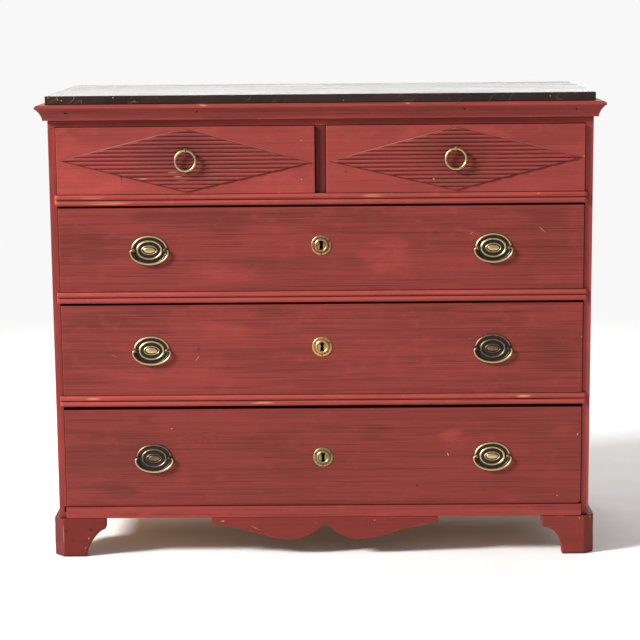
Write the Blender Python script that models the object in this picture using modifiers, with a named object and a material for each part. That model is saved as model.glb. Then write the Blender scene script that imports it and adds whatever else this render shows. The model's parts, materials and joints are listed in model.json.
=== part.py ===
"""Painted chest of drawers: two small carved drawers above three long ones.

Metres, +Z up, front towards -Y, standing on Z = 0 and centred on X and Y.
"""
import math

import bmesh
import bpy
from mathutils import Matrix, Vector

QUARTER_TURN = math.pi / 2
FULL_TURN = math.pi * 2

# Fits
FIT_GAP = 0.0003
DRAWER_SIDE_GAP = 0.0010
DRAWER_RUN_GAP = 0.0003
DRAWER_BACK_CLEARANCE = 0.012
CUT_MARGIN = 0.002
WELD_DISTANCE = 0.00001
FLAT_ANGLE = 0.01

# Case boards
CASE_WIDTH = 1.150
CASE_DEPTH = 0.483
CASE_HEIGHT = 0.9802
SIDE_THICKNESS = 0.0165
BACK_THICKNESS = 0.012
BACK_REBATE = 0.009
HOUSING_DEPTH = 0.0065
BOTTOM_THICKNESS = 0.025
BASE_STRIP_PROJECTION = 0.012
BASE_STRIP_NOTCH = 0.010
PARTITION_THICKNESS = 0.022
FRIEZE_HEIGHT = 0.047
FRIEZE_DEPTH = 0.026
FRIEZE_TAIL_FLARE = 0.004

# Top board
TOP_THICKNESS = 0.018
TOP_SIDE_OVERHANG = 0.003
TOP_FRONT_OVERHANG = 0.006

# Cornice: fillet, shallow hollow and rounded nose
CORNICE_PROJECTION = 0.024
CORNICE_HEIGHT = 0.033
CORNICE_FOOT = 0.0095
CORNICE_FILLET = 0.0035
CORNICE_HOLLOW = 0.0018
CORNICE_LIP = 0.002
CORNICE_NOSE_RISE = 0.0262
CORNICE_NOSE_DEPTH = 0.008
CORNICE_STEPS = 6

# Drawer rails with a double bead on the front edge
RAIL_THICKNESS = 0.024
RAIL_PROJECTION = 0.004
BEAD_DEPTH = 0.006
BEAD_STEPS = 6

# Drawer rows; the lowest row takes the height that the others leave
LOWER_HEAD_GAP = 0.007
MIDDLE_HEIGHT = 0.1965
MIDDLE_HEAD_GAP = 0.0045
UPPER_HEIGHT = 0.180
UPPER_HEAD_GAP = 0.0045
SMALL_HEIGHT = 0.142
SMALL_HEAD_GAP = 0.001
LONG_PROUD = 0.005
SMALL_PROUD = 0.0066

# Drawer boards
FRONT_THICKNESS = 0.024
DRAWER_SIDE_THICKNESS = 0.012
DRAWER_BACK_THICKNESS = 0.012
DRAWER_BACK_INSET = 0.008
DRAWER_SIDE_DROP = 0.005
DRAWER_BACK_DROP = 0.012
PANEL_THICKNESS = 0.008
GROOVE_RISE = 0.012
GROOVE_DEPTH = 0.005
TAIL_LENGTH = 0.016
TAIL_SHARE = 0.72
TAIL_SLOPE = 1 / 6
SMALL_TAILS = 3
UPPER_TAILS = 4
MIDDLE_TAILS = 4
LOWER_TAILS = 5

# Raised lozenge of horizontal reeds on the small drawers
LOZENGE_END_MARGIN = 0.00775
LOZENGE_EDGE_MARGIN = 0.0035
REED_COUNT = 16
REED_STEPS = 4
LOZENGE_RAISE = 0.0034
REED_CREST = 0.0004
REED_VALLEY = 0.0030

# Bracket feet
FOOT_HEIGHT = 0.085
FOOT_SIDE_PROJECTION = 0.013
FOOT_FRONT_PROJECTION = 0.013
FOOT_CANT = 0.0215
FOOT_TOP_WIDTH = 0.1155
FOOT_BASE_WIDTH = 0.071
FOOT_TOP_ROUND = 0.007
FOOT_LIP = 0.019
FOOT_LIP_ROUND = 0.006
FOOT_THICKNESS = 0.022
FOOT_BLOCK = 0.048
FOOT_STEPS = 8
ROUND_STEPS = 3

# Scalloped apron
APRON_X = 0.003
APRON_HALF_WIDTH = 0.246
APRON_THICKNESS = 0.018
APRON_END_DROP = 0.015
APRON_LOBE_DROP = 0.049
APRON_CUSP_DROP = 0.0125
APRON_LOBE_X = 0.072
APRON_STEPS = 10

# Oval plate handles
HANDLE_INSET = 0.192
PLATE_RADIUS = 0.0385
PLATE_RIM_RATIO = 0.80
PLATE_CENTRE_RATIO = 0.55
PLATE_FLOOR = 0.0013
PLATE_RIM_HEIGHT = 0.0022
PLATE_RIM_WIDTH = 0.0045
PLATE_RING_RADIUS = 0.0250
PLATE_RING_WIDTH = 0.0060
PLATE_RING_HEIGHT = 0.0026
PLATE_BOSS_RADIUS = 0.0165
PLATE_BOSS_HEIGHT = 0.0042
PLATE_BOSS_CROWN = 0.0100
PLATE_SEGMENTS = 24
POST_HALF_SPACING = 0.0335
POST_RADIUS = 0.0042
POST_SEGMENTS = 8
POST_RINGS = 6
PIVOT_OUT = 0.0050
SHANK_RADIUS = 0.0025
SHANK_GAP = 0.0004
SHANK_SEGMENTS = 8
NUT_RADIUS = 0.0055
NUT_THICKNESS = 0.0035

# Bails
BAIL_WIRE_RADIUS = 0.0020
BAIL_HALF_WIDTH = 0.0400
BAIL_DROP = 0.0297
BAIL_CORNER = 0.0040
BAIL_BORE_GAP = 0.0004
BAIL_STEPS = 16
BAIL_CORNER_STEPS = 3
WIRE_RESOLUTION = 2

# Ring pulls
RING_OUTER_RADIUS = 0.0240
RING_WIRE_RADIUS = 0.0025
RING_STEPS = 28
RING_OUT = 0.0072
EYE_INNER_RADIUS = 0.0029
EYE_WIRE_RADIUS = 0.0011
EYE_STEPS = 12
EYE_COLLAR_RADIUS = 0.0050
EYE_COLLAR_THICKNESS = 0.0010
EYE_SHANK_RADIUS = 0.0020

# Keyhole escutcheons
ESCUTCHEON_RADIUS = 0.0212
ESCUTCHEON_EDGE = 0.0008
ESCUTCHEON_BRIM = 0.0018
ESCUTCHEON_BRIM_WIDTH = 0.0020
ESCUTCHEON_COLLAR_RADIUS = 0.0118
ESCUTCHEON_COLLAR_WIDTH = 0.0022
ESCUTCHEON_COLLAR_HEIGHT = 0.0034
ESCUTCHEON_FLOOR = 0.0024
ESCUTCHEON_SEGMENTS = 20
KEYHOLE_RADIUS = 0.0038
KEYHOLE_SLOT_HALF = 0.0030
KEYHOLE_RISE = 0.0055
KEYHOLE_DROP = 0.0095
KEYHOLE_STEPS = 8
KEYWAY_GAP = 0.0010
LOWER_ESCUTCHEON_RISE = 0.0
MIDDLE_ESCUTCHEON_RISE = 0.006
UPPER_ESCUTCHEON_RISE = 0.008

# Planes of the case
HALF_WIDTH = CASE_WIDTH / 2
INNER_X = HALF_WIDTH - SIDE_THICKNESS
FRONT_Y = CORNICE_PROJECTION - (CASE_DEPTH + CORNICE_PROJECTION) / 2
BACK_Y = FRONT_Y + CASE_DEPTH
BACK_FACE_Y = BACK_Y - BACK_THICKNESS

# Heights, from the top of the case down, and from the floor up to the lowest drawer
CASE_TOP_Z = CASE_HEIGHT
CORNICE_Z = CASE_TOP_Z - CORNICE_HEIGHT
FRIEZE_Z = CASE_TOP_Z - FRIEZE_HEIGHT
SMALL_Z = FRIEZE_Z - SMALL_HEAD_GAP - SMALL_HEIGHT
UPPER_RAIL_Z = SMALL_Z - DRAWER_RUN_GAP - RAIL_THICKNESS
UPPER_Z = UPPER_RAIL_Z - UPPER_HEAD_GAP - UPPER_HEIGHT
MIDDLE_RAIL_Z = UPPER_Z - DRAWER_RUN_GAP - RAIL_THICKNESS
MIDDLE_Z = MIDDLE_RAIL_Z - MIDDLE_HEAD_GAP - MIDDLE_HEIGHT
LOWER_RAIL_Z = MIDDLE_Z - DRAWER_RUN_GAP - RAIL_THICKNESS
BOTTOM_TOP_Z = FOOT_HEIGHT + BOTTOM_THICKNESS
LOWER_Z = BOTTOM_TOP_Z + DRAWER_RUN_GAP
LOWER_HEIGHT = LOWER_RAIL_Z - LOWER_HEAD_GAP - LOWER_Z

# Sizes that follow from the ones above
RING_RADIUS = RING_OUTER_RADIUS - RING_WIRE_RADIUS
SOCKET_DEPTH = TAIL_LENGTH + FIT_GAP
GROOVE_HEIGHT = PANEL_THICKNESS + FIT_GAP * 2
LONG_WIDTH = (INNER_X - DRAWER_SIDE_GAP) * 2
SMALL_WIDTH = INNER_X - PARTITION_THICKNESS / 2 - DRAWER_SIDE_GAP * 2
SMALL_X = (INNER_X + PARTITION_THICKNESS / 2) / 2
LOZENGE_WIDTH = SMALL_WIDTH - LOZENGE_END_MARGIN * 2
LOZENGE_HEIGHT = SMALL_HEIGHT - LOZENGE_EDGE_MARGIN * 2
HANDLE_X = LONG_WIDTH / 2 - HANDLE_INSET


def clear_scene():
    """Remove every object the file opened with."""
    for obj in list(bpy.data.objects):
        bpy.data.objects.remove(obj)


def make_collection(name):
    """A collection linked to the scene."""
    collection = bpy.data.collections.new(name)
    bpy.context.scene.collection.children.link(collection)
    return collection


def make_material(name, colour, roughness, metallic):
    """A Principled material of one colour."""
    material = bpy.data.materials.new(name)
    material.use_nodes = True
    shader = material.node_tree.nodes["Principled BSDF"]
    shader.inputs["Base Color"].default_value = (*colour, 1)
    shader.inputs["Roughness"].default_value = roughness
    shader.inputs["Metallic"].default_value = metallic
    material.diffuse_color = (*colour, 1)
    return material


clear_scene()
PARTS = make_collection("chest_of_drawers")
CUTTERS = make_collection("cutters")
CASE_PAINT = make_material("case_paint", (0.31, 0.053, 0.045), 0.55, 0)
LONG_PAINT = make_material("long_drawer_paint", (0.26, 0.049, 0.041), 0.5, 0)
SMALL_PAINT = make_material("small_drawer_paint", (0.36, 0.066, 0.056), 0.55, 0)
PINE = make_material("bare_pine", (0.52, 0.33, 0.17), 0.75, 0)
MARBLED = make_material("marbled_paint", (0.033, 0.022, 0.017), 0.25, 0)
BRASS = make_material("aged_brass", (0.55, 0.41, 0.17), 0.35, 1)


def finish_mesh(mesh, smooth=False):
    """Weld a mesh, turn its faces outwards and set its shading."""
    bm = bmesh.new()
    bm.from_mesh(mesh)
    bmesh.ops.remove_doubles(bm, verts=bm.verts, dist=WELD_DISTANCE)
    bmesh.ops.recalc_face_normals(bm, faces=bm.faces)
    for face in bm.faces:
        face.smooth = smooth
    bm.to_mesh(mesh)
    bm.free()
    return mesh


def evaluated_mesh(data, modify=None):
    """The mesh of a curve or mesh after its modifiers."""
    shape = bpy.data.objects.new("shape", data)
    bpy.context.scene.collection.objects.link(shape)
    if modify:
        modify(shape)
    graph = bpy.context.evaluated_depsgraph_get()
    mesh = bpy.data.meshes.new_from_object(shape.evaluated_get(graph))
    bpy.data.objects.remove(shape)
    return mesh


def outline_mesh(points, place):
    """A flat outline given thickness; place maps (u, v, 0 or 1) into the part."""
    curve = bpy.data.curves.new("outline", "CURVE")
    curve.dimensions = "2D"
    curve.fill_mode = "BOTH"
    curve.extrude = 1 / 2
    spline = curve.splines.new("POLY")
    spline.points.add(len(points) - 1)
    for point, (u, v) in zip(spline.points, points):
        point.co = (u, v, 0, 1)
    spline.use_cyclic_u = True
    mesh = finish_mesh(evaluated_mesh(curve))
    for vertex in mesh.vertices:
        u, v, w = vertex.co
        vertex.co = place(u, v, w + 1 / 2)
    return finish_mesh(mesh)


def facing_front(low, high):
    """Outlines seen from the front, thick from y = low to y = high."""
    return lambda u, v, w: (u, low + (high - low) * w, v)


def facing_side(low, high):
    """Outlines seen from the side, thick from x = low to x = high."""
    return lambda u, v, w: (low + (high - low) * w, u, v)


def seen_from_above(low, high):
    """Outlines seen from above, thick from z = low to z = high."""
    return lambda u, v, w: (u, v, low + (high - low) * w)


def box_mesh(low, high):
    """A box between two corners."""
    mesh = bpy.data.meshes.new("box")
    bm = bmesh.new()
    bmesh.ops.create_cube(bm, size=1)
    bmesh.ops.scale(bm, vec=Vector(high) - Vector(low), verts=bm.verts)
    bmesh.ops.translate(bm, vec=(Vector(high) + Vector(low)) / 2, verts=bm.verts)
    bm.to_mesh(mesh)
    bm.free()
    return mesh


def rod_mesh(radius, low, high, segments, x=0, z=0):
    """A round rod along Y from y = low to y = high."""
    mesh = bpy.data.meshes.new("rod")
    bm = bmesh.new()
    bmesh.ops.create_cone(bm, cap_ends=True, segments=segments, radius1=radius, radius2=radius,
                          depth=high - low)
    mesh_turn = Matrix.Rotation(QUARTER_TURN, 4, "X")
    bmesh.ops.transform(bm, matrix=mesh_turn, verts=bm.verts)
    bmesh.ops.translate(bm, vec=(x, (low + high) / 2, z), verts=bm.verts)
    bm.to_mesh(mesh)
    bm.free()
    return mesh


def cross_rod_mesh(radius, low, high, segments, y=0, z=0):
    """A round rod along X from x = low to x = high."""
    mesh = rod_mesh(radius, low, high, segments)
    mesh.transform(Matrix.Translation((0, y, z)) @ Matrix.Rotation(-QUARTER_TURN, 4, "Z"))
    return mesh


def ball_mesh(radius, centre):
    """A small ball."""
    mesh = bpy.data.meshes.new("ball")
    bm = bmesh.new()
    bmesh.ops.create_uvsphere(bm, u_segments=POST_SEGMENTS, v_segments=POST_RINGS, radius=radius)
    bmesh.ops.translate(bm, vec=centre, verts=bm.verts)
    bm.to_mesh(mesh)
    bm.free()
    return mesh


def wire_mesh(points, radius, closed):
    """A bent round wire along a list of points."""
    curve = bpy.data.curves.new("wire", "CURVE")
    curve.dimensions = "3D"
    curve.bevel_depth = radius
    curve.bevel_resolution = WIRE_RESOLUTION
    curve.use_fill_caps = True
    spline = curve.splines.new("POLY")
    spline.points.add(len(points) - 1)
    for point, place in zip(spline.points, points):
        point.co = (*place, 1)
    spline.use_cyclic_u = closed
    return finish_mesh(evaluated_mesh(curve), smooth=True)


def turned_mesh(profile, segments):
    """A turned solid whose (radius, height) profile stands out towards -Y."""
    mesh = bpy.data.meshes.new("turned")
    edges = [(step, step + 1) for step in range(len(profile) - 1)]
    mesh.from_pydata([(radius, 0, height) for radius, height in profile], edges, [])

    def spin(shape):
        screw = shape.modifiers.new("turn", "SCREW")
        screw.axis = "Z"
        screw.angle = FULL_TURN
        screw.steps = segments
        screw.render_steps = segments
        screw.use_merge_vertices = True
        screw.merge_threshold = WELD_DISTANCE

    turned = evaluated_mesh(mesh, spin)
    turned.transform(Matrix.Rotation(QUARTER_TURN, 4, "X"))
    return finish_mesh(turned, smooth=True)


def joined(meshes):
    """Several separate meshes as one."""
    result = bpy.data.meshes.new("joined")
    bm = bmesh.new()
    for mesh in meshes:
        bm.from_mesh(mesh)
    bm.to_mesh(result)
    bm.free()
    return result


def make_cutter(name, mesh):
    """A hidden shape that another piece is cut or joined with."""
    obj = bpy.data.objects.new(name, mesh)
    CUTTERS.objects.link(obj)
    obj.hide_render = True
    obj.display_type = "WIRE"
    return obj


def shape_with(target, mesh, operation="DIFFERENCE", name="cut"):
    """Cut a mesh out of a piece, or join or cross it with one."""
    cutter = make_cutter(target.name + "_" + name, mesh)
    step = target.modifiers.new(name, "BOOLEAN")
    step.operation = operation
    step.solver = "EXACT"
    step.object = cutter
    return step


def round_edges(mesh, chosen, radius):
    """Round the edges of a mesh that lie wholly where chosen says."""
    bm = bmesh.new()
    bm.from_mesh(mesh)
    bmesh.ops.dissolve_limit(bm, angle_limit=FLAT_ANGLE, verts=bm.verts, edges=bm.edges)
    edges = [edge for edge in bm.edges if all(chosen(vertex.co) for vertex in edge.verts)]
    bmesh.ops.bevel(bm, geom=edges, offset=radius, offset_type="OFFSET", segments=ROUND_STEPS,
                    profile=1 / 2, affect="EDGES")
    bm.to_mesh(mesh)
    bm.free()
    return finish_mesh(mesh)


def piece(name, mesh, material, location=None):
    """One piece of the chest; without a location its origin goes to the middle of its own box."""
    if location is None:
        corners = [vertex.co for vertex in mesh.vertices]
        low = Vector(min(corner[axis] for corner in corners) for axis in range(3))
        high = Vector(max(corner[axis] for corner in corners) for axis in range(3))
        location = (low + high) / 2
        mesh.transform(Matrix.Translation(-location))
    mesh.materials.clear()
    mesh.materials.append(material)
    obj = bpy.data.objects.new(name, mesh)
    obj.location = location
    PARTS.objects.link(obj)
    return obj


def arc(centre, radii, start, end, steps):
    """Points of an elliptical arc, both ends included."""
    turns = [start + (end - start) * step / steps for step in range(steps + 1)]
    return [(centre[0] + radii[0] * math.cos(turn), centre[1] + radii[1] * math.sin(turn))
            for turn in turns]


def bracket_edge():
    """Inner edge of a bracket foot from floor to top: cove, rounded lip and square end."""
    cove_top = FOOT_HEIGHT - FOOT_LIP - FOOT_LIP_ROUND
    lip_x = FOOT_TOP_WIDTH - FOOT_LIP_ROUND
    cove = arc((lip_x, 0), (lip_x - FOOT_BASE_WIDTH, cove_top), math.pi, QUARTER_TURN, FOOT_STEPS)
    lip = arc((lip_x, cove_top + FOOT_LIP_ROUND), (FOOT_LIP_ROUND, FOOT_LIP_ROUND),
              -QUARTER_TURN, 0, ROUND_STEPS)
    return cove + lip[1:]


def build_side(name, hand):
    """A side board; at the back it runs down to the floor as the rear foot."""
    foot = [(BACK_Y - reach, z) for reach, z in bracket_edge()]
    outline = [(BACK_Y, 0), *foot, (BACK_Y - FOOT_TOP_WIDTH, FOOT_HEIGHT + FIT_GAP)]
    outline += [(FRONT_Y, FOOT_HEIGHT + FIT_GAP), (FRONT_Y, CASE_TOP_Z), (BACK_Y, CASE_TOP_Z)]
    side = piece(name, outline_mesh(outline, facing_side(hand * INNER_X, hand * HALF_WIDTH)), CASE_PAINT)
    reach = [hand * (INNER_X - CUT_MARGIN), hand * (INNER_X + HOUSING_DEPTH)]
    housings = []
    for rail_z in (LOWER_RAIL_Z, MIDDLE_RAIL_Z, UPPER_RAIL_Z):
        low = (min(reach), FRONT_Y - CUT_MARGIN, rail_z - FIT_GAP)
        high = (max(reach), BACK_FACE_Y, rail_z + RAIL_THICKNESS + FIT_GAP)
        housings.append(box_mesh(low, high))
    low = (min(reach), FRONT_Y + BASE_STRIP_NOTCH - FIT_GAP, FOOT_HEIGHT - CUT_MARGIN)
    high = (max(reach), BACK_FACE_Y, BOTTOM_TOP_Z + FIT_GAP)
    housings.append(box_mesh(low, high))
    shape_with(side, joined(housings), name="housings")
    rebate = [hand * (INNER_X - CUT_MARGIN), hand * (INNER_X + BACK_REBATE)]
    low = (min(rebate), BACK_FACE_Y - FIT_GAP, FOOT_HEIGHT)
    high = (max(rebate), BACK_Y + CUT_MARGIN, CASE_TOP_Z + CUT_MARGIN)
    shape_with(side, box_mesh(low, high), name="rebate")
    past = HALF_WIDTH + SIDE_THICKNESS
    slope = FRIEZE_TAIL_FLARE / SIDE_THICKNESS
    socket = [(hand * (INNER_X - SIDE_THICKNESS), FRIEZE_Z - FIT_GAP + FRIEZE_TAIL_FLARE)]
    socket += [(hand * past, FRIEZE_Z - FIT_GAP - slope * (past - INNER_X))]
    socket += [(hand * past, CASE_TOP_Z + CUT_MARGIN)]
    socket += [(hand * (INNER_X - SIDE_THICKNESS), CASE_TOP_Z + CUT_MARGIN)]
    across = facing_front(FRONT_Y - CUT_MARGIN, FRONT_Y + FRIEZE_DEPTH + FIT_GAP)
    shape_with(side, outline_mesh(socket, across), name="socket")
    return side


def build_frieze():
    """Rail above the small drawers, with a dovetail over each side board."""
    low = FRIEZE_Z - FRIEZE_TAIL_FLARE
    outline = [(-HALF_WIDTH, low), (-INNER_X, FRIEZE_Z), (INNER_X, FRIEZE_Z), (HALF_WIDTH, low)]
    outline += [(HALF_WIDTH, CASE_TOP_Z), (-HALF_WIDTH, CASE_TOP_Z)]
    mesh = outline_mesh(outline, facing_front(FRONT_Y, FRONT_Y + FRIEZE_DEPTH))
    return piece("frieze_rail", mesh, CASE_PAINT)


def build_back():
    """Back panel in the rebates of the side boards."""
    reach = INNER_X + BACK_REBATE - FIT_GAP
    mesh = box_mesh((-reach, BACK_FACE_Y, FOOT_HEIGHT + FIT_GAP), (reach, BACK_Y, CASE_TOP_Z))
    return piece("back_panel", mesh, PINE)


def build_bottom():
    """Bottom board, housed in the sides; its front edge is the base strip."""
    reach = INNER_X + HOUSING_DEPTH - FIT_GAP
    strip = INNER_X - FIT_GAP
    notch_y = FRONT_Y + BASE_STRIP_NOTCH
    strip_y = FRONT_Y - BASE_STRIP_PROJECTION
    rear_y = BACK_FACE_Y - FIT_GAP
    outline = [(-strip, strip_y), (strip, strip_y), (strip, notch_y), (reach, notch_y), (reach, rear_y)]
    outline += [(-reach, rear_y), (-reach, notch_y), (-strip, notch_y)]
    mesh = outline_mesh(outline, seen_from_above(FOOT_HEIGHT + FIT_GAP, BOTTOM_TOP_Z))
    return piece("bottom_board", mesh, CASE_PAINT)


def build_rail(name, low_z):
    """Drawer rail running back as a dust board; its double bead laps over the side boards."""
    face_y = FRONT_Y - RAIL_PROJECTION
    bead_half = RAIL_THICKNESS / 4
    outline = [(BACK_FACE_Y - FIT_GAP, low_z)]
    for bead_z in (low_z + bead_half, low_z + RAIL_THICKNESS - bead_half):
        outline += arc((face_y, bead_z), (BEAD_DEPTH, bead_half),
                       -QUARTER_TURN, -math.pi - QUARTER_TURN, BEAD_STEPS)
    outline += [(BACK_FACE_Y - FIT_GAP, low_z + RAIL_THICKNESS)]
    outline = [point for step, point in enumerate(outline)
               if step == 0 or math.dist(point, outline[step - 1]) > FIT_GAP]
    reach = INNER_X + HOUSING_DEPTH - FIT_GAP
    return piece(name, outline_mesh(outline, facing_side(-reach, reach)), CASE_PAINT)


def build_partition():
    """Upright board between the two small drawers."""
    half = PARTITION_THICKNESS / 2
    low = (-half, FRONT_Y, UPPER_RAIL_Z + RAIL_THICKNESS + FIT_GAP)
    high = (half, BACK_FACE_Y - FIT_GAP, FRIEZE_Z - FIT_GAP)
    return piece("drawer_partition", box_mesh(low, high), CASE_PAINT)


def build_top():
    """Marbled top board."""
    reach = HALF_WIDTH + TOP_SIDE_OVERHANG
    low = (-reach, FRONT_Y - TOP_FRONT_OVERHANG, CASE_TOP_Z + FIT_GAP)
    high = (reach, BACK_Y, CASE_TOP_Z + FIT_GAP + TOP_THICKNESS)
    return piece("marbled_top", box_mesh(low, high), MARBLED)


def hollow(start, end, depth, steps):
    """Points of a shallow hollow between two points, both ends included."""
    run = Vector(end) - Vector(start)
    inward = Vector((-run.y, run.x)).normalized() * depth
    shares = [step / steps for step in range(steps + 1)]
    points = [Vector(start) + run * share + inward * 4 * share * (1 - share) for share in shares]
    return [tuple(point) for point in points]


def cornice_profile():
    """Cornice section as (projection, height): fillet, shallow hollow and rounded nose."""
    lip_x = CORNICE_PROJECTION - CORNICE_LIP
    crown_x = CORNICE_PROJECTION - CORNICE_NOSE_DEPTH
    crown_rise = CORNICE_HEIGHT - CORNICE_NOSE_RISE
    profile = [(FIT_GAP, 0), (CORNICE_FOOT, 0)]
    profile += hollow((CORNICE_FOOT, CORNICE_FILLET), (lip_x, CORNICE_NOSE_RISE - CORNICE_LIP),
                      CORNICE_HOLLOW, CORNICE_STEPS)
    lip = arc((lip_x, CORNICE_NOSE_RISE), (CORNICE_LIP, CORNICE_LIP), -QUARTER_TURN, 0, ROUND_STEPS)
    crown = arc((crown_x, CORNICE_NOSE_RISE), (CORNICE_NOSE_DEPTH, crown_rise),
                0, QUARTER_TURN, CORNICE_STEPS)
    return [*profile, *lip[1:], *crown[1:], (FIT_GAP, CORNICE_HEIGHT)]


def build_cornice():
    """Three mitred lengths of cornice round the front and sides."""
    def along_front(out, z, end):
        reach = HALF_WIDTH + out - FIT_GAP
        return (reach * (end * 2 - 1), FRONT_Y - out, CORNICE_Z + z)

    def along_side(hand):
        def place(out, z, end):
            front = FRONT_Y - out + FIT_GAP
            return (hand * (HALF_WIDTH + out), front + (BACK_Y - front) * end, CORNICE_Z + z)
        return place

    piece("cornice_front", outline_mesh(cornice_profile(), along_front), CASE_PAINT)
    piece("cornice_left", outline_mesh(cornice_profile(), along_side(-1)), CASE_PAINT)
    piece("cornice_right", outline_mesh(cornice_profile(), along_side(1)), CASE_PAINT)


def build_foot(name, hand):
    """Front bracket foot: two shaped arms, a canted corner and the block behind it."""
    outer_x = HALF_WIDTH + FOOT_SIDE_PROJECTION
    front_y = FRONT_Y - FOOT_FRONT_PROJECTION
    plan = [(FOOT_CANT, 0), (FOOT_TOP_WIDTH, 0), (FOOT_TOP_WIDTH, FOOT_THICKNESS)]
    plan += [(FOOT_BLOCK, FOOT_THICKNESS), (FOOT_BLOCK, FOOT_BLOCK), (FOOT_THICKNESS, FOOT_BLOCK)]
    plan += [(FOOT_THICKNESS, FOOT_TOP_WIDTH), (0, FOOT_TOP_WIDTH), (0, FOOT_CANT)]
    outline = [(hand * (outer_x - inward), front_y + back) for inward, back in plan]
    mesh = outline_mesh(outline, seen_from_above(0, FOOT_HEIGHT))
    shoulder_x = outer_x - FOOT_CANT - FIT_GAP

    def on_shoulder(corner):
        inward = outer_x - hand * corner.x
        back = corner.y - front_y
        outside = inward < FIT_GAP or back < FIT_GAP
        return outside and hand * corner.x > shoulder_x and corner.z > FOOT_HEIGHT - FIT_GAP

    foot = piece(name, round_edges(mesh, on_shoulder, FOOT_TOP_ROUND), CASE_PAINT)
    edge = bracket_edge()
    under = [(FOOT_BASE_WIDTH, -CUT_MARGIN), *edge, (FOOT_TOP_WIDTH + CUT_MARGIN, FOOT_HEIGHT - FOOT_LIP)]
    under += [(FOOT_TOP_WIDTH + CUT_MARGIN, -CUT_MARGIN)]
    front_cut = [(hand * (outer_x - reach), z) for reach, z in under]
    through = facing_front(front_y - CUT_MARGIN, front_y + FOOT_THICKNESS + CUT_MARGIN)
    shape_with(foot, outline_mesh(front_cut, through), name="front_cove")
    side_cut = [(front_y + reach, z) for reach, z in under]
    through = facing_side(hand * (outer_x + CUT_MARGIN), hand * (outer_x - FOOT_THICKNESS - CUT_MARGIN))
    shape_with(foot, outline_mesh(side_cut, through), name="side_cove")
    return foot


def apron_drop(x):
    """Depth of the apron's lower edge below the base strip."""
    reach = abs(x)
    if reach > APRON_LOBE_X:
        share = (APRON_HALF_WIDTH - reach) / (APRON_HALF_WIDTH - APRON_LOBE_X)
        return APRON_END_DROP + (APRON_LOBE_DROP - APRON_END_DROP) * (1 - math.cos(math.pi * share)) / 2
    share = 1 - reach / APRON_LOBE_X
    return APRON_CUSP_DROP + (APRON_LOBE_DROP - APRON_CUSP_DROP) * (1 - share * share)


def build_apron():
    """Scalloped apron under the base strip: two lobes meeting in a cusp."""
    outer = APRON_HALF_WIDTH - APRON_LOBE_X
    reaches = [APRON_HALF_WIDTH - outer * step / APRON_STEPS for step in range(APRON_STEPS)]
    reaches += [APRON_LOBE_X * (1 - step / APRON_STEPS) for step in range(APRON_STEPS)]
    stations = [-reach for reach in reaches] + [0] + reaches[::-1]
    outline = [(APRON_X + x, FOOT_HEIGHT - apron_drop(x)) for x in stations]
    outline += [(APRON_X + APRON_HALF_WIDTH, FOOT_HEIGHT), (APRON_X - APRON_HALF_WIDTH, FOOT_HEIGHT)]
    face_y = FRONT_Y - BASE_STRIP_PROJECTION
    mesh = outline_mesh(outline, facing_front(face_y, face_y + APRON_THICKNESS))
    return piece("apron", mesh, CASE_PAINT)


def keyhole_outline(gap):
    """Keyhole seen from the front: round head above a straight slot."""
    slot = KEYHOLE_SLOT_HALF + gap
    radius = KEYHOLE_RADIUS + gap
    start = -math.acos(slot / radius)
    head = arc((0, KEYHOLE_RISE), (radius, radius), start, math.pi - start, KEYHOLE_STEPS)
    return [*head, (-slot, -KEYHOLE_DROP - gap), (slot, -KEYHOLE_DROP - gap)]


def joined_piece_mesh(base, steps):
    """One closed mesh from a base mesh and (mesh, operation) steps."""
    def shape_up(shape):
        for step, (mesh, operation) in enumerate(steps):
            shape_with(shape, mesh, operation, "step_" + str(step))

    mesh = evaluated_mesh(base, shape_up)
    return finish_mesh(mesh, smooth=True)


def build_plate_mesh():
    """Oval handle plate with its two bored posts, bolts and nuts; y = 0 is the drawer face."""
    rim_in = PLATE_RADIUS - PLATE_RIM_WIDTH
    ring_half = PLATE_RING_WIDTH / 2
    profile = [(0, PLATE_BOSS_HEIGHT), (PLATE_BOSS_CROWN, PLATE_BOSS_HEIGHT)]
    profile += [(PLATE_BOSS_RADIUS, PLATE_FLOOR), (PLATE_RING_RADIUS - ring_half, PLATE_FLOOR)]
    profile += [(PLATE_RING_RADIUS, PLATE_RING_HEIGHT), (PLATE_RING_RADIUS + ring_half, PLATE_FLOOR)]
    profile += [(rim_in, PLATE_FLOOR), (PLATE_RADIUS - PLATE_RIM_WIDTH / 2, PLATE_RIM_HEIGHT)]
    profile += [(PLATE_RADIUS, PLATE_FLOOR), (PLATE_RADIUS, FIT_GAP), (0, FIT_GAP)]
    base = turned_mesh(profile, PLATE_SEGMENTS)
    for vertex in base.vertices:
        share = math.hypot(vertex.co.x, vertex.co.z) / PLATE_RADIUS
        vertex.co.z *= PLATE_CENTRE_RATIO + (PLATE_RIM_RATIO - PLATE_CENTRE_RATIO) * share
    posts = []
    shanks = []
    nuts = []
    bores = []
    nut_y = FRONT_THICKNESS + FIT_GAP
    for x in (-POST_HALF_SPACING, POST_HALF_SPACING):
        posts.append(ball_mesh(POST_RADIUS, (x, -PIVOT_OUT, 0)))
        shanks.append(rod_mesh(SHANK_RADIUS, -PLATE_FLOOR, nut_y + NUT_THICKNESS / 2, SHANK_SEGMENTS, x))
        nuts.append(rod_mesh(NUT_RADIUS, nut_y, nut_y + NUT_THICKNESS, SHANK_SEGMENTS, x))
        bores.append(cross_rod_mesh(BAIL_WIRE_RADIUS + BAIL_BORE_GAP, x - POST_RADIUS - BAIL_BORE_GAP,
                                    x + POST_RADIUS + BAIL_BORE_GAP, SHANK_SEGMENTS, -PIVOT_OUT))
    steps = [(joined(posts), "UNION"), (joined(shanks), "UNION"), (joined(nuts), "UNION")]
    return joined_piece_mesh(base, steps + [(joined(bores), "DIFFERENCE")])


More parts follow.
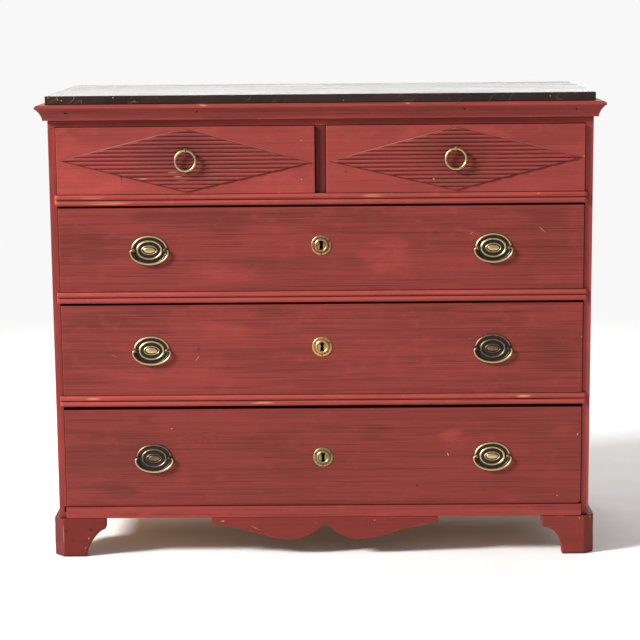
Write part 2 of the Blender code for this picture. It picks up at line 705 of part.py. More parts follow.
def build_bail_mesh():
    """Bail with its ends turned in through the posts; the origin is on the hinge axis."""
    end_x = POST_HALF_SPACING - POST_RADIUS
    corner = arc((BAIL_HALF_WIDTH - BAIL_CORNER, -BAIL_CORNER), (BAIL_CORNER, BAIL_CORNER),
                 QUARTER_TURN, 0, BAIL_CORNER_STEPS)
    bow = arc((0, -BAIL_CORNER), (BAIL_HALF_WIDTH, BAIL_DROP - BAIL_CORNER), 0, -math.pi, BAIL_STEPS)
    path = [(end_x, 0), *corner, *bow[1:-1], *[(-x, z) for x, z in reversed(corner)], (-end_x, 0)]
    return wire_mesh([(x, 0, z) for x, z in path], BAIL_WIRE_RADIUS, False)


def build_escutcheon_mesh():
    """Round keyhole escutcheon with a raised collar; y = 0 is the drawer face."""
    collar = ESCUTCHEON_COLLAR_RADIUS
    inner = collar - ESCUTCHEON_COLLAR_WIDTH
    outer = collar + ESCUTCHEON_COLLAR_WIDTH
    profile = [(0, ESCUTCHEON_FLOOR), (inner, ESCUTCHEON_FLOOR), (collar, ESCUTCHEON_COLLAR_HEIGHT)]
    profile += [(outer, ESCUTCHEON_BRIM), (ESCUTCHEON_RADIUS - ESCUTCHEON_BRIM_WIDTH, ESCUTCHEON_BRIM)]
    profile += [(ESCUTCHEON_RADIUS, ESCUTCHEON_EDGE), (ESCUTCHEON_RADIUS, FIT_GAP), (0, FIT_GAP)]
    base = turned_mesh(profile, ESCUTCHEON_SEGMENTS)
    through = facing_front(-ESCUTCHEON_COLLAR_HEIGHT - CUT_MARGIN, CUT_MARGIN)
    return joined_piece_mesh(base, [(outline_mesh(keyhole_outline(0), through), "DIFFERENCE")])


def build_ring_mesh():
    """Ring of a pull, hanging from its origin."""
    circle = arc((0, -RING_RADIUS), (RING_RADIUS, RING_RADIUS), 0, FULL_TURN, RING_STEPS)[:-1]
    return wire_mesh([(x, 0, z) for x, z in circle], RING_WIRE_RADIUS, True)


def build_eye_mesh():
    """Eye bolt of a ring pull: loop, collar, shank and nut; the origin is on the ring's hinge axis."""
    loop_radius = EYE_INNER_RADIUS + EYE_WIRE_RADIUS
    loop_z = EYE_INNER_RADIUS - RING_WIRE_RADIUS - FIT_GAP
    circle = arc((0, loop_z), (loop_radius, loop_radius), 0, FULL_TURN, EYE_STEPS)[:-1]
    base = wire_mesh([(0, y, z) for y, z in circle], EYE_WIRE_RADIUS, True)
    seat_y = RING_OUT + REED_CREST - FIT_GAP
    nut_y = RING_OUT + FRONT_THICKNESS + FIT_GAP
    shank = rod_mesh(EYE_SHANK_RADIUS, loop_radius, nut_y + NUT_THICKNESS / 2, SHANK_SEGMENTS, 0, loop_z)
    collar = rod_mesh(EYE_COLLAR_RADIUS, seat_y - EYE_COLLAR_THICKNESS, seat_y, SHANK_SEGMENTS, 0, loop_z)
    nut = rod_mesh(NUT_RADIUS, nut_y, nut_y + NUT_THICKNESS, SHANK_SEGMENTS, 0, loop_z)
    return joined_piece_mesh(base, [(shank, "UNION"), (collar, "UNION"), (nut, "UNION")])


def tail_spans(low_z, high_z, count):
    """Middle height and half width at the tip of each dovetail on a drawer side."""
    pitch = (high_z - low_z) / count
    return [(low_z + pitch * (step + 1 / 2), pitch * TAIL_SHARE / 2) for step in range(count)]


def build_drawer_side(name, x_low, x_high, inner_x, low_z, high_z, back_of_front, tails):
    """Drawer side with dovetails at the front and a groove for the bottom."""
    rear_y = BACK_FACE_Y - DRAWER_BACK_CLEARANCE
    shoulder_y = back_of_front + FIT_GAP
    tip_y = back_of_front - TAIL_LENGTH
    outline = [(rear_y, low_z), (shoulder_y, low_z)]
    for middle, half in tail_spans(low_z, high_z, tails):
        root = half - TAIL_SLOPE * (shoulder_y - tip_y)
        outline += [(shoulder_y, middle - root), (tip_y, middle - half)]
        outline += [(tip_y, middle + half), (shoulder_y, middle + root)]
    outline += [(shoulder_y, high_z), (rear_y, high_z)]
    side = piece(name, outline_mesh(outline, facing_side(x_low, x_high)), PINE)
    outward = math.copysign(1, (x_low + x_high) / 2 - inner_x)
    groove = [inner_x - outward * CUT_MARGIN, inner_x + outward * GROOVE_DEPTH]
    low = (min(groove), tip_y - CUT_MARGIN, low_z + GROOVE_RISE)
    high = (max(groove), rear_y + CUT_MARGIN, low_z + GROOVE_RISE + GROOVE_HEIGHT)
    shape_with(side, box_mesh(low, high), name="groove")
    return side


def build_drawer(name, middle_x, width, low_z, height, proud, tails, paint):
    """A dovetailed drawer: front, two sides, back and bottom, carried by one empty."""
    half = width / 2
    face_y = FRONT_Y - proud
    back_of_front = face_y + FRONT_THICKNESS
    rear_y = BACK_FACE_Y - DRAWER_BACK_CLEARANCE
    side_top = low_z + height - DRAWER_SIDE_DROP
    groove_z = low_z + GROOVE_RISE
    slide = bpy.data.objects.new(name + "_slide", None)
    slide.location = (middle_x, face_y, low_z)
    PARTS.objects.link(slide)

    front = piece(name + "_front", box_mesh((middle_x - half, face_y, low_z),
                                            (middle_x + half, back_of_front, low_z + height)), paint)
    sockets = []
    for hand in (-1, 1):
        reach = [middle_x + hand * (half - DRAWER_SIDE_THICKNESS - FIT_GAP)]
        reach += [middle_x + hand * (half + CUT_MARGIN)]
        for middle, wide in tail_spans(low_z, side_top, tails):
            tip_y = back_of_front - SOCKET_DEPTH
            tip = wide + FIT_GAP
            root = tip - TAIL_SLOPE * (SOCKET_DEPTH + CUT_MARGIN)
            mouth_y = back_of_front + CUT_MARGIN
            outline = [(mouth_y, middle - root), (tip_y, middle - tip)]
            outline += [(tip_y, middle + tip), (mouth_y, middle + root)]
            sockets.append(outline_mesh(outline, facing_side(min(reach), max(reach))))
    shape_with(front, joined(sockets), name="sockets")
    groove_half = half - DRAWER_SIDE_THICKNESS + GROOVE_DEPTH
    groove = box_mesh((middle_x - groove_half, back_of_front - GROOVE_DEPTH, groove_z),
                      (middle_x + groove_half, back_of_front + CUT_MARGIN, groove_z + GROOVE_HEIGHT))
    shape_with(front, groove, name="groove")

    pieces = [front]
    for hand, side_name in ((-1, "_side_left"), (1, "_side_right")):
        edges = [middle_x + hand * half, middle_x + hand * (half - DRAWER_SIDE_THICKNESS)]
        pieces.append(build_drawer_side(name + side_name, min(edges), max(edges), edges[1], low_z, side_top,
                                        back_of_front, tails))
    panel_half = groove_half - FIT_GAP
    panel_top = groove_z + FIT_GAP + PANEL_THICKNESS
    panel = box_mesh((middle_x - panel_half, back_of_front - GROOVE_DEPTH + FIT_GAP, groove_z + FIT_GAP),
                     (middle_x + panel_half, rear_y, panel_top))
    pieces.append(piece(name + "_bottom", panel, PINE))
    back_half = half - DRAWER_SIDE_THICKNESS - FIT_GAP
    back_y = rear_y - DRAWER_BACK_INSET
    back = box_mesh((middle_x - back_half, back_y - DRAWER_BACK_THICKNESS, panel_top + FIT_GAP),
                    (middle_x + back_half, back_y, low_z + height - DRAWER_BACK_DROP))
    pieces.append(piece(name + "_back", back, PINE))
    carry(slide, pieces)
    return slide, front, face_y


def carry(slide, pieces):
    """Let pieces ride on the empty that stands for their drawer."""
    for obj in pieces:
        obj.parent = slide
        obj.matrix_parent_inverse = Matrix.Translation(-slide.location)


def build_small_drawer(name, hand, ring_mesh, eye_mesh):
    """Small drawer with a raised reeded lozenge and a ring pull."""
    middle_x = hand * SMALL_X
    proud = SMALL_PROUD + LOZENGE_RAISE
    slide, front, face_y = build_drawer(name, middle_x, SMALL_WIDTH, SMALL_Z, SMALL_HEIGHT, proud,
                                        SMALL_TAILS, SMALL_PAINT)
    middle_z = SMALL_Z + SMALL_HEIGHT / 2
    low_z = middle_z - LOZENGE_HEIGHT / 2
    half = LOZENGE_WIDTH / 2
    lozenge = [(middle_x - half, middle_z), (middle_x, low_z), (middle_x + half, middle_z)]
    lozenge += [(middle_x, low_z + LOZENGE_HEIGHT)]
    reach = SMALL_WIDTH / 2 + CUT_MARGIN
    field = box_mesh((middle_x - reach, face_y - CUT_MARGIN, SMALL_Z - CUT_MARGIN),
                     (middle_x + reach, face_y + LOZENGE_RAISE, SMALL_Z + SMALL_HEIGHT + CUT_MARGIN))
    step = shape_with(front, field, name="field")
    through = facing_front(face_y - CUT_MARGIN * 2, face_y + LOZENGE_RAISE * 2)
    shape_with(step.object, outline_mesh(lozenge, through), name="lozenge")
    reed = LOZENGE_HEIGHT / REED_COUNT
    comb = [(face_y - CUT_MARGIN / 2, low_z - CUT_MARGIN / 2), (face_y + REED_VALLEY, low_z - CUT_MARGIN / 2)]
    for step in range(REED_COUNT * REED_STEPS + 1):
        share = (step % REED_STEPS) / REED_STEPS * 2 - 1
        bulge = math.sqrt(1 - share * share)
        depth = REED_VALLEY - (REED_VALLEY - REED_CREST) * bulge
        comb.append((face_y + depth, low_z + reed * step / REED_STEPS))
    high_z = low_z + LOZENGE_HEIGHT + CUT_MARGIN / 2
    comb += [(face_y + REED_VALLEY, high_z), (face_y - CUT_MARGIN / 2, high_z)]
    shape_with(front, outline_mesh(comb, facing_side(middle_x - reach, middle_x + reach)), name="reeds")
    hang_z = middle_z + RING_RADIUS
    loop_z = hang_z + EYE_INNER_RADIUS - RING_WIRE_RADIUS - FIT_GAP
    bore = rod_mesh(EYE_SHANK_RADIUS + SHANK_GAP, face_y - CUT_MARGIN,
                    face_y + FRONT_THICKNESS + CUT_MARGIN, SHANK_SEGMENTS, middle_x, loop_z)
    shape_with(front, bore, name="bore")
    hang = (middle_x, face_y - RING_OUT, hang_z)
    eye = piece(name + "_ring_eye", eye_mesh, BRASS, hang)
    ring = piece(name + "_ring_pull", ring_mesh, BRASS, hang)
    carry(slide, [eye, ring])


def build_long_drawer(name, low_z, height, tails, rise, plate_mesh, bail_mesh, escutcheon_mesh):
    """Long drawer with two oval plate handles and a keyhole escutcheon."""
    slide, front, face_y = build_drawer(name, 0, LONG_WIDTH, low_z, height, LONG_PROUD, tails, LONG_PAINT)
    middle_z = low_z + height / 2
    key_z = middle_z + rise
    through = facing_front(face_y - CUT_MARGIN, face_y + FRONT_THICKNESS + CUT_MARGIN)
    keyhole = [(u, key_z + v) for u, v in keyhole_outline(KEYWAY_GAP)]
    shape_with(front, outline_mesh(keyhole, through), name="keyhole")
    bores = []
    fittings = [piece(name + "_escutcheon", escutcheon_mesh, BRASS, (0, face_y, key_z))]
    for hand, label in ((-1, "_left"), (1, "_right")):
        x = hand * HANDLE_X
        fittings.append(piece(name + "_plate" + label, plate_mesh, BRASS, (x, face_y, middle_z)))
        fittings.append(piece(name + "_bail" + label, bail_mesh, BRASS, (x, face_y - PIVOT_OUT, middle_z)))
        for post_x in (x - POST_HALF_SPACING, x + POST_HALF_SPACING):
            bores.append(rod_mesh(SHANK_RADIUS + SHANK_GAP, face_y - CUT_MARGIN,
                                  face_y + FRONT_THICKNESS + CUT_MARGIN, SHANK_SEGMENTS, post_x, middle_z))
    shape_with(front, joined(bores), name="bores")
    carry(slide, fittings)


def build_chest():
    """The whole chest."""
    build_side("side_left", -1)
    build_side("side_right", 1)
    build_back()
    build_bottom()
    build_rail("rail_lower", LOWER_RAIL_Z)
    build_rail("rail_middle", MIDDLE_RAIL_Z)
    build_rail("rail_upper", UPPER_RAIL_Z)
    build_partition()
    build_frieze()
    build_cornice()
    build_top()
    build_apron()
    build_foot("foot_front_left", -1)
    build_foot("foot_front_right", 1)
    ring_mesh = build_ring_mesh()
    eye_mesh = build_eye_mesh()
    build_small_drawer("drawer_small_left", -1, ring_mesh, eye_mesh)
    build_small_drawer("drawer_small_right", 1, ring_mesh, eye_mesh)
    fittings = (build_plate_mesh(), build_bail_mesh(), build_escutcheon_mesh())
    build_long_drawer("drawer_upper", UPPER_Z, UPPER_HEIGHT, UPPER_TAILS,
                      UPPER_ESCUTCHEON_RISE, *fittings)
    build_long_drawer("drawer_middle", MIDDLE_Z, MIDDLE_HEIGHT, MIDDLE_TAILS,
                      MIDDLE_ESCUTCHEON_RISE, *fittings)
    build_long_drawer("drawer_lower", LOWER_Z, LOWER_HEIGHT, LOWER_TAILS,
                      LOWER_ESCUTCHEON_RISE, *fittings)


build_chest()
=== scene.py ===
"""Looks of a red-painted chest of drawers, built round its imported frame.

Metres, +Z up, front towards -Y. Each piece keeps the row frame's coordinates in its mesh,
so object coordinates in the materials are places on the chest.
"""
import json
import math

import bmesh
import bpy
from mathutils import Matrix, Vector, noise

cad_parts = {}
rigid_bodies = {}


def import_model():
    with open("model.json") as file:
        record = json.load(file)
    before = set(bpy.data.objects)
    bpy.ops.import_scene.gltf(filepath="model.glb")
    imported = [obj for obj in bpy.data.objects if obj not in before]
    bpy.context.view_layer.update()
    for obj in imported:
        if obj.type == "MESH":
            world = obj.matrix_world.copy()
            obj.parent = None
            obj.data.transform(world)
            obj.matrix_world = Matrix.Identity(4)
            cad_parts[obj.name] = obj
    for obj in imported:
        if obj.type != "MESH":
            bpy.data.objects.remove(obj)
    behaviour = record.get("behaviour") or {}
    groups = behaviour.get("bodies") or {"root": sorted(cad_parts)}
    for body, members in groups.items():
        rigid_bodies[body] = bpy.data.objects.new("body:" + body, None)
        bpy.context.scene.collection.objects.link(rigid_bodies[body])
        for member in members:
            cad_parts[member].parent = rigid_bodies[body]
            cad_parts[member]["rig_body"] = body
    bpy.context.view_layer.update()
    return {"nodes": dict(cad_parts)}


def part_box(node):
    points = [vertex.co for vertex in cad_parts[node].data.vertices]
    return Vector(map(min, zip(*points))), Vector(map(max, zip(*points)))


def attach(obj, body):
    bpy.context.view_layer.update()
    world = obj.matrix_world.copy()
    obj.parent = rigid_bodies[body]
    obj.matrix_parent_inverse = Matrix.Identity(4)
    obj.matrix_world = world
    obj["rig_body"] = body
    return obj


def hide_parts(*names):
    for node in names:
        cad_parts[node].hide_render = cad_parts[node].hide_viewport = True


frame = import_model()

QUARTER_TURN = math.pi / 2
FULL_TURN = math.pi * 2
X_AXIS, Y_AXIS, Z_AXIS = 0, 1, 2

# Tolerances
WELD = 0.00001
TOUCH = 0.0001
FIT_GAP = 0.0003
CUT_MARGIN = 0.002
FLAT_ANGLE = 0.01
SHARP_ANGLE = 0.5
SMOOTH_LIMIT = math.radians(40)

# Planes of the case, bare ones with unpainted wood behind them, and names in the frame
SIDE_LOW, SIDE_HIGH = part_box("side_right")
INNER_X, FRONT_Y = SIDE_LOW.x, SIDE_LOW.y
HALF_WIDTH, BACK_Y = SIDE_HIGH.x, SIDE_HIGH.y
BARE_CASE_Y = -0.195
BARE_FRONT_Y = -0.222
SMALL_DRAWERS = ("drawer_small_left", "drawer_small_right")
LONG_DRAWERS = ("drawer_upper", "drawer_middle", "drawer_lower")
HANDS = ((-1, "left"), (1, "right"))

# Rounding of worn edges; a front edge of a side board is upright from UPRIGHT_LENGTH on
BOARD_ROUND = 0.001
FRONT_ROUND = 0.0016
TOP_ROUND = 0.0014
PANEL_ROUND = 0.0006
ROUND_STEPS = 3
UPRIGHT_LENGTH = 0.02

# Splinters broken out: left stile beside the base strip, right end of the lowest drawer
SLOT_WIDTH = 0.0055
SLOT_DROP = 0.013
SLOT_DEPTH = 0.014
CHIP_SIZE = 0.0045

# Cornice section, its unevenness, which fades at the mitres, and nail holes at (x, height)
MOULDING_STEPS = 14
LIP_STEPS = 6
CORNICE_FOOT = 0.0095
CORNICE_ARRIS = 0.0006
CORNICE_FILLET = 0.0035
CORNICE_HOLLOW = 0.0018
CORNICE_LIP = 0.002
CORNICE_NOSE_RISE = 0.0262
CORNICE_NOSE_DEPTH = 0.008
CORNICE_STATION = 0.012
CORNICE_WOBBLE = 0.00025
CORNICE_WAVES = 9
CORNICE_SEEDS = {"front": 2.5, "left": -7.5, "right": 7.5}
MITRE_FADE = 0.02
NAIL_HOLE_RADIUS = 0.002
NAIL_HOLE_LENGTH = 0.012
NAIL_HOLES = ((-0.5355, 0.016), (-0.5315, 0.0155), (0.5365, 0.0163), (-0.258, 0.017), (0.302, 0.019))

# Rails with a double bead: seed of the wear, shares of depth and height at the ends, length of the taper
RAIL_PROJECTION = 0.004
BEAD_DEPTH = 0.006
RAIL_STATION = 0.014
RAIL_WEAR = 0.0004
RAIL_WEAR_MEAN = 0.5
RAIL_WAVES = 14
BEAD_WAVES = 90
TAPER_STEPS = 8
RAILS = {"rail_upper": (1.5, 0.25, 0.35, 0.01), "rail_middle": (4.5, 0.6, 0.92, 0.003),
         "rail_lower": (8.5, 0.6, 0.92, 0.003)}

# Raised lozenges with their left and right points slightly off the middle, pale lines of worn arris and
# painted highlight on their upper borders and painted shadow on their lower ones, reeds with grime and
# painted shade in their hollows
LOZENGE_END_MARGIN = 0.0045
LOZENGE_EDGE_MARGIN = 0.0035
LOZENGE_RAISE = 0.0031
LOZENGE_ROOT = 0.002
LOZENGE_CHAMFER = 0.0024
LOZENGE_RISES = {"drawer_small_left": (0.0015, -0.0065), "drawer_small_right": (-0.004, 0.0)}
# Pale lines on the upper borders are worn arris and painted highlight; dark lines on the lower borders are
# painted shadow
LOZENGE_LIGHT_AND_SHADE = (("scratches", 0.3), ("scratches", 0.12), ("dark_lines", 0.7), ("dark_lines", 0.45))
LOZENGE_LINE_REACH = 1.25
REED_SEEDS = {"drawer_small_left": 1.3, "drawer_small_right": 6.3}
REED_COUNT = 16
REED_STEPS = 12
REED_STATIONS = 44
REED_DEPTH = 0.0019
REED_WEAR = 0.12
REED_WEAR_WAVES = (20, 1.7)
REED_WOBBLE = 0.00035
REED_WOBBLE_WAVES = (12, 0.8)
REED_WOBBLE_SEED = 4
REED_GRIME_AND_SHADE = 0.96
EYE_BORE_RADIUS = 0.0028
EYE_BORE_DEPTH = 0.012

# Feet and apron; a foot's fullness draws its cove towards the chord
FOOT_FULLNESS = {"left": 0.45, "right": 0.0}
FOOT_CANT = 0.0215
FOOT_BASE_WIDTH = 0.071
FOOT_LIP = 0.019
FOOT_LIP_ROUND = 0.006
FOOT_THICKNESS = 0.022
FOOT_BLOCK = 0.048
FOOT_STEPS = 24
FOOT_VOXEL = 0.0018
FOOT_SMOOTHING = 2
FOOT_DENT = 0.0006
DENT_WAVES = 30
FINE_DENT_WAVES = 120
FINE_DENT_SHARE = 0.5
DENT_BIAS = 0.6
APRON_LOBE_X = 0.072
APRON_END_DROP = 0.015
APRON_CUSP_DROP = 0.0125
APRON_STEPS = 36

# Panels of boards, with open joints at shares of their width, and the nails of the back
JOINT_WIDTH = 0.0012
JOINT_DEPTH = 0.003
BACK_JOINTS = (0.31, 0.66)
LONG_BOTTOM_JOINTS = (0.36, 0.7)
SMALL_BOTTOM_JOINTS = (0.52,)
NAIL_HEAD = ((0, 0.001), (0.0016, 0.0008), (0.0027, 0.0003), (0.0027, -0.0008), (0, -0.0008))
NAIL_SIDES = 10
SIDE_NAIL_HEIGHTS = (0.035, 0.15, 0.255, 0.31, 0.43, 0.55, 0.63, 0.75, 0.85)
SIDE_NAIL_INSET = 0.006
SIDE_NAIL_STRAY = 0.001
SIDE_NAIL_WAVES = 40
TOP_NAIL_REACH = 0.45
TOP_NAIL_SPACING = 0.15
TOP_NAIL_INSET = 0.012

# Oval plates: (radius, height) of the moats, ridges from one radius to another with a base, rise and steps,
# and height to width at shares of the radius
PLATE_SEGMENTS = 96
PLATE_FLOOR = 0.0012
PLATE_RIM_WIDTH = 0.0042
PLATE_RIM_RISE = 0.0016
PLATE_RIM_STEPS = 10
PLATE_RIM_INNER = 0.033
OUTER_MOAT = ((0.0337, 0.001), (0.029, 0.001))
OUTER_RIDGE = (0.0283, 0.023, 0.001, 0.0019, 12)
INNER_MOAT = ((0.0222, 0.001), (0.0179, 0.001))
INNER_RIDGE = (0.0172, 0.0143, 0.0012, 0.0017, 10)
CORE_GROOVE = ((0.0139, 0.001), (0.0131, 0.001))
CORE_RADIUS = 0.0126
CORE_FOOT = 0.0013
CORE_RISE = 0.0022
CORE_STEPS = 8
OVAL_SHARES = ((0.0, 0.46), (0.34, 0.49), (0.45, 0.6), (0.6, 0.735), (0.74, 0.75), (1.0, 0.8))
POST_HALF_SPACING = 0.0335
POST_RADIUS = 0.0042
POST_BALL_TURN = math.pi * 0.8
POST_BALL_STEPS = 16
POST_FOOT = ((0.003, 0.0016), (0.0046, 0.0012), (0.0046, 0.0008), (0, 0.0008))
POST_SIDES = 26
BOLT = ((0, 0.001), (0.0025, 0.001), (0.0025, -0.0243), (0.0055, -0.0243), (0.0055, -0.027),
        (0.0048, -0.0278), (0, -0.0278))
PIN_SIDES = 12
PIVOT_OUT = 0.005
BORE_RADIUS = 0.0022
BORE_HALF = 0.006
BORE_SIDES = 15
BROWN_PLATES = ("drawer_middle_plate_right", "drawer_lower_plate_left")

# Bails and rings
BAIL_END_SHARE = 0.9
BAIL_SHOULDER = 1.2
BAIL_CORNER = 0.004
BAIL_CORNER_STEPS = 8
BAIL_STEPS = 56
BAIL_SIDES = 14
BAIL_THIN = 0.82
BAIL_SWELL = 0.26
RING_STEPS = 72
RING_SIDES = 16
RING_SHARE = 0.98
RING_UNEVEN = 0.05
RING_WAVES = (0.3, 9)

# Escutcheons; the brim is given by (distance from the edge, height), the pins by heights above it
KEYHOLE_RADIUS = 0.0044
KEYHOLE_NECK_HALF = 0.0028
KEYHOLE_SLOT_HALF = 0.0042
KEYHOLE_RISE = 0.0055
KEYHOLE_DROP = 0.0095
KEYHOLE_STEPS = 20
KEYHOLE_BACK = 0.004
KEYHOLE_LENGTH = 0.012
KEYWAY_GAP = 0.0012
BRIM_HEIGHT = 0.0017
BRIM_EDGE = ((0, FIT_GAP), (0, 0.0007), (0.0006, 0.0013), (0.002, BRIM_HEIGHT))
BRIM_INNER = 0.015
COLLAR_INNER = 0.0095
COLLAR = (0.0142, COLLAR_INNER, BRIM_HEIGHT, 0.0018, 12)
DISH = ((0.0088, 0.0021), (0, 0.0021))
ESCUTCHEON_SIDES = 72
PIN = ((0, 0.0009), (0.0009, 0.0006), (0.0013, -0.0004), (0, -0.0004))
PIN_PLACES = ((-0.0158, 0.0088), (0.0158, 0.0088), (0.0, -0.0176))

# Brown on the brass: bright from a height on, darker on posts and round pins, collar and keyhole; painted
# shadow of the bail on the lower rim
BRIGHT_HEIGHT = 0.0011
BRIGHT_RISE = 0.0009
POST_PATINA = 0.6
RIM_BAIL_SHADOW = 0.75
EYE_PATINA = 0.3
PIN_GRIME = 0.0022
COLLAR_GRIME = 0.0148
COLLAR_GRIME_WIDTH = 0.0012
COLLAR_PATINA = 0.9
DISH_PATINA = 0.5

# Locks, as half widths and half heights
LOCK_PLATE = (0.04, 0.03)
LOCK_PLATE_DEPTH = 0.0018
LOCK_CASE = (0.029, 0.024)
LOCK_CASE_START = 0.001
LOCK_CASE_DEPTH = 0.0125
LOCK_ROUND = 0.0009
LOCK_ROUND_STEPS = 2
RIVET = ((0, 0.0014), (0.0018, 0.001), (0.0025, 0), (0.0025, -0.001), (0, -0.001))
RIVET_X = 0.035
RIVET_Z = 0.024

# Camera at the photograph's place, with a focal length for a 640 pixel frame
FRAME_PIXELS = 640
FOCAL_PIXELS = 1931.778
SENSOR_WIDTH = 36
CAMERA_PITCH = 0.167371
CAMERA_YAW = 0.009275
CAMERA_ROLL = -0.008844
CAMERA_PLACE = (0.033696, -4.305132, 1.2059)

# Studio
AMBIENT = 0.42
BACKGROUND = 0.94
KEY_AIM = Vector((0, FRONT_Y, 0.5))
KEY_DIRECTION = Vector((-0.787, -0.342, 0.513))
KEY_DISTANCE = 12.0
KEY_SIZE = (2.4, 2.4)
KEY_ENERGY = 2620
WALL_PLACE = (0, 4.5, 2.6)
WALL_AIM = (0, 0, 1.0)
WALL_SIZE = (8, 2.4)
WALL_ENERGY = 190
FLOOR_RADIUS = 6.0
FLOOR_SIDES = 96
FLOOR_FADE = (1.0, 3.2)

# Paint: reach of the noise that shakes marks, strength of layers, brightness of pale places, grime and
# painted shade in corners, and wear
SHAKE = Vector((0.16, 0, 0.024))
TREMBLE = Vector((0.03, 0, 0.002))
THIN_LINE_HALF = 0.0009
FIGURE_RINGS = 22
STREAK_DEPTH = 0.3
LINE_DEPTH = 0.5
MOTTLE_DEPTH = 0.45
MOTTLE_LIGHT = 1.25
BLUSH_LIGHT = 1.4
EDGE_LIGHT = 1.7
EDGE_RADIUS = 0.0022
EDGE_WEAR = 0.75
GRIME_AND_SHADE_REACH = 0.012
CORNER_GRIME_AND_SHADE = 0.72
STILE_GRIME_AND_SHADE = 0.4
FLECK_RELIEF = 0.8
BARE_RAGGED = 0.012
PAINT_SPECULAR = 0.18


def srgb(red, green, blue):
    """A colour given as 0 to 255 screen values, made linear."""
    def linear(value):
        share = value / 255
        return share / 12.92 if share <= 0.04045 else ((share + 0.055) / 1.055) ** 2.4
    return (linear(red), linear(green), linear(blue), 1)


def lighter(colour, factor):
    """A colour made lighter by a factor."""
    return tuple(min(1, channel * factor) for channel in colour[:3]) + (1,)


PINE_LIGHT = srgb(196, 158, 114)
PINE_DARK = srgb(158, 114, 74)
PINE_AGED = srgb(118, 82, 52)
WORN_OCHRE = srgb(214, 150, 96)
# Pale cream of worn paint, also laid as painted highlight on the upper borders of the lozenges
WORN_CREAM_AND_HIGHLIGHT = srgb(228, 200, 172)
# Dark dirt colour, also laid as painted shade in corners and hollows and as painted shadow
DIRT_AND_SHADE = srgb(52, 24, 20)
# Brown of the paint, also laid as painted shadow of the cornice across the tops of the small drawers
BROWN_AND_SHADE = srgb(84, 38, 32)
RED_TRIM = srgb(150, 60, 54)
RED_LONG = srgb(138, 55, 49)
RED_LOWER = srgb(129, 51, 45)
# The right stile's lighter red is painted light against the shadow the drawers cast on it
RED_STILES_RIGHT_LIT = {"left": srgb(149, 57, 51), "right": srgb(166, 71, 66)}

# Veins of the marbling: shift of their noise, colour, width; how they are turned and scaled
VEINS = ((0.0, srgb(156, 110, 66), 0.0055), (4.2, srgb(118, 104, 96), 0.0055), (9.5, srgb(80, 62, 54), 0.012))
VEIN_TURN = (0.0, 0.62, 0.45)
VEIN_SCALE = (9, 9, 30)


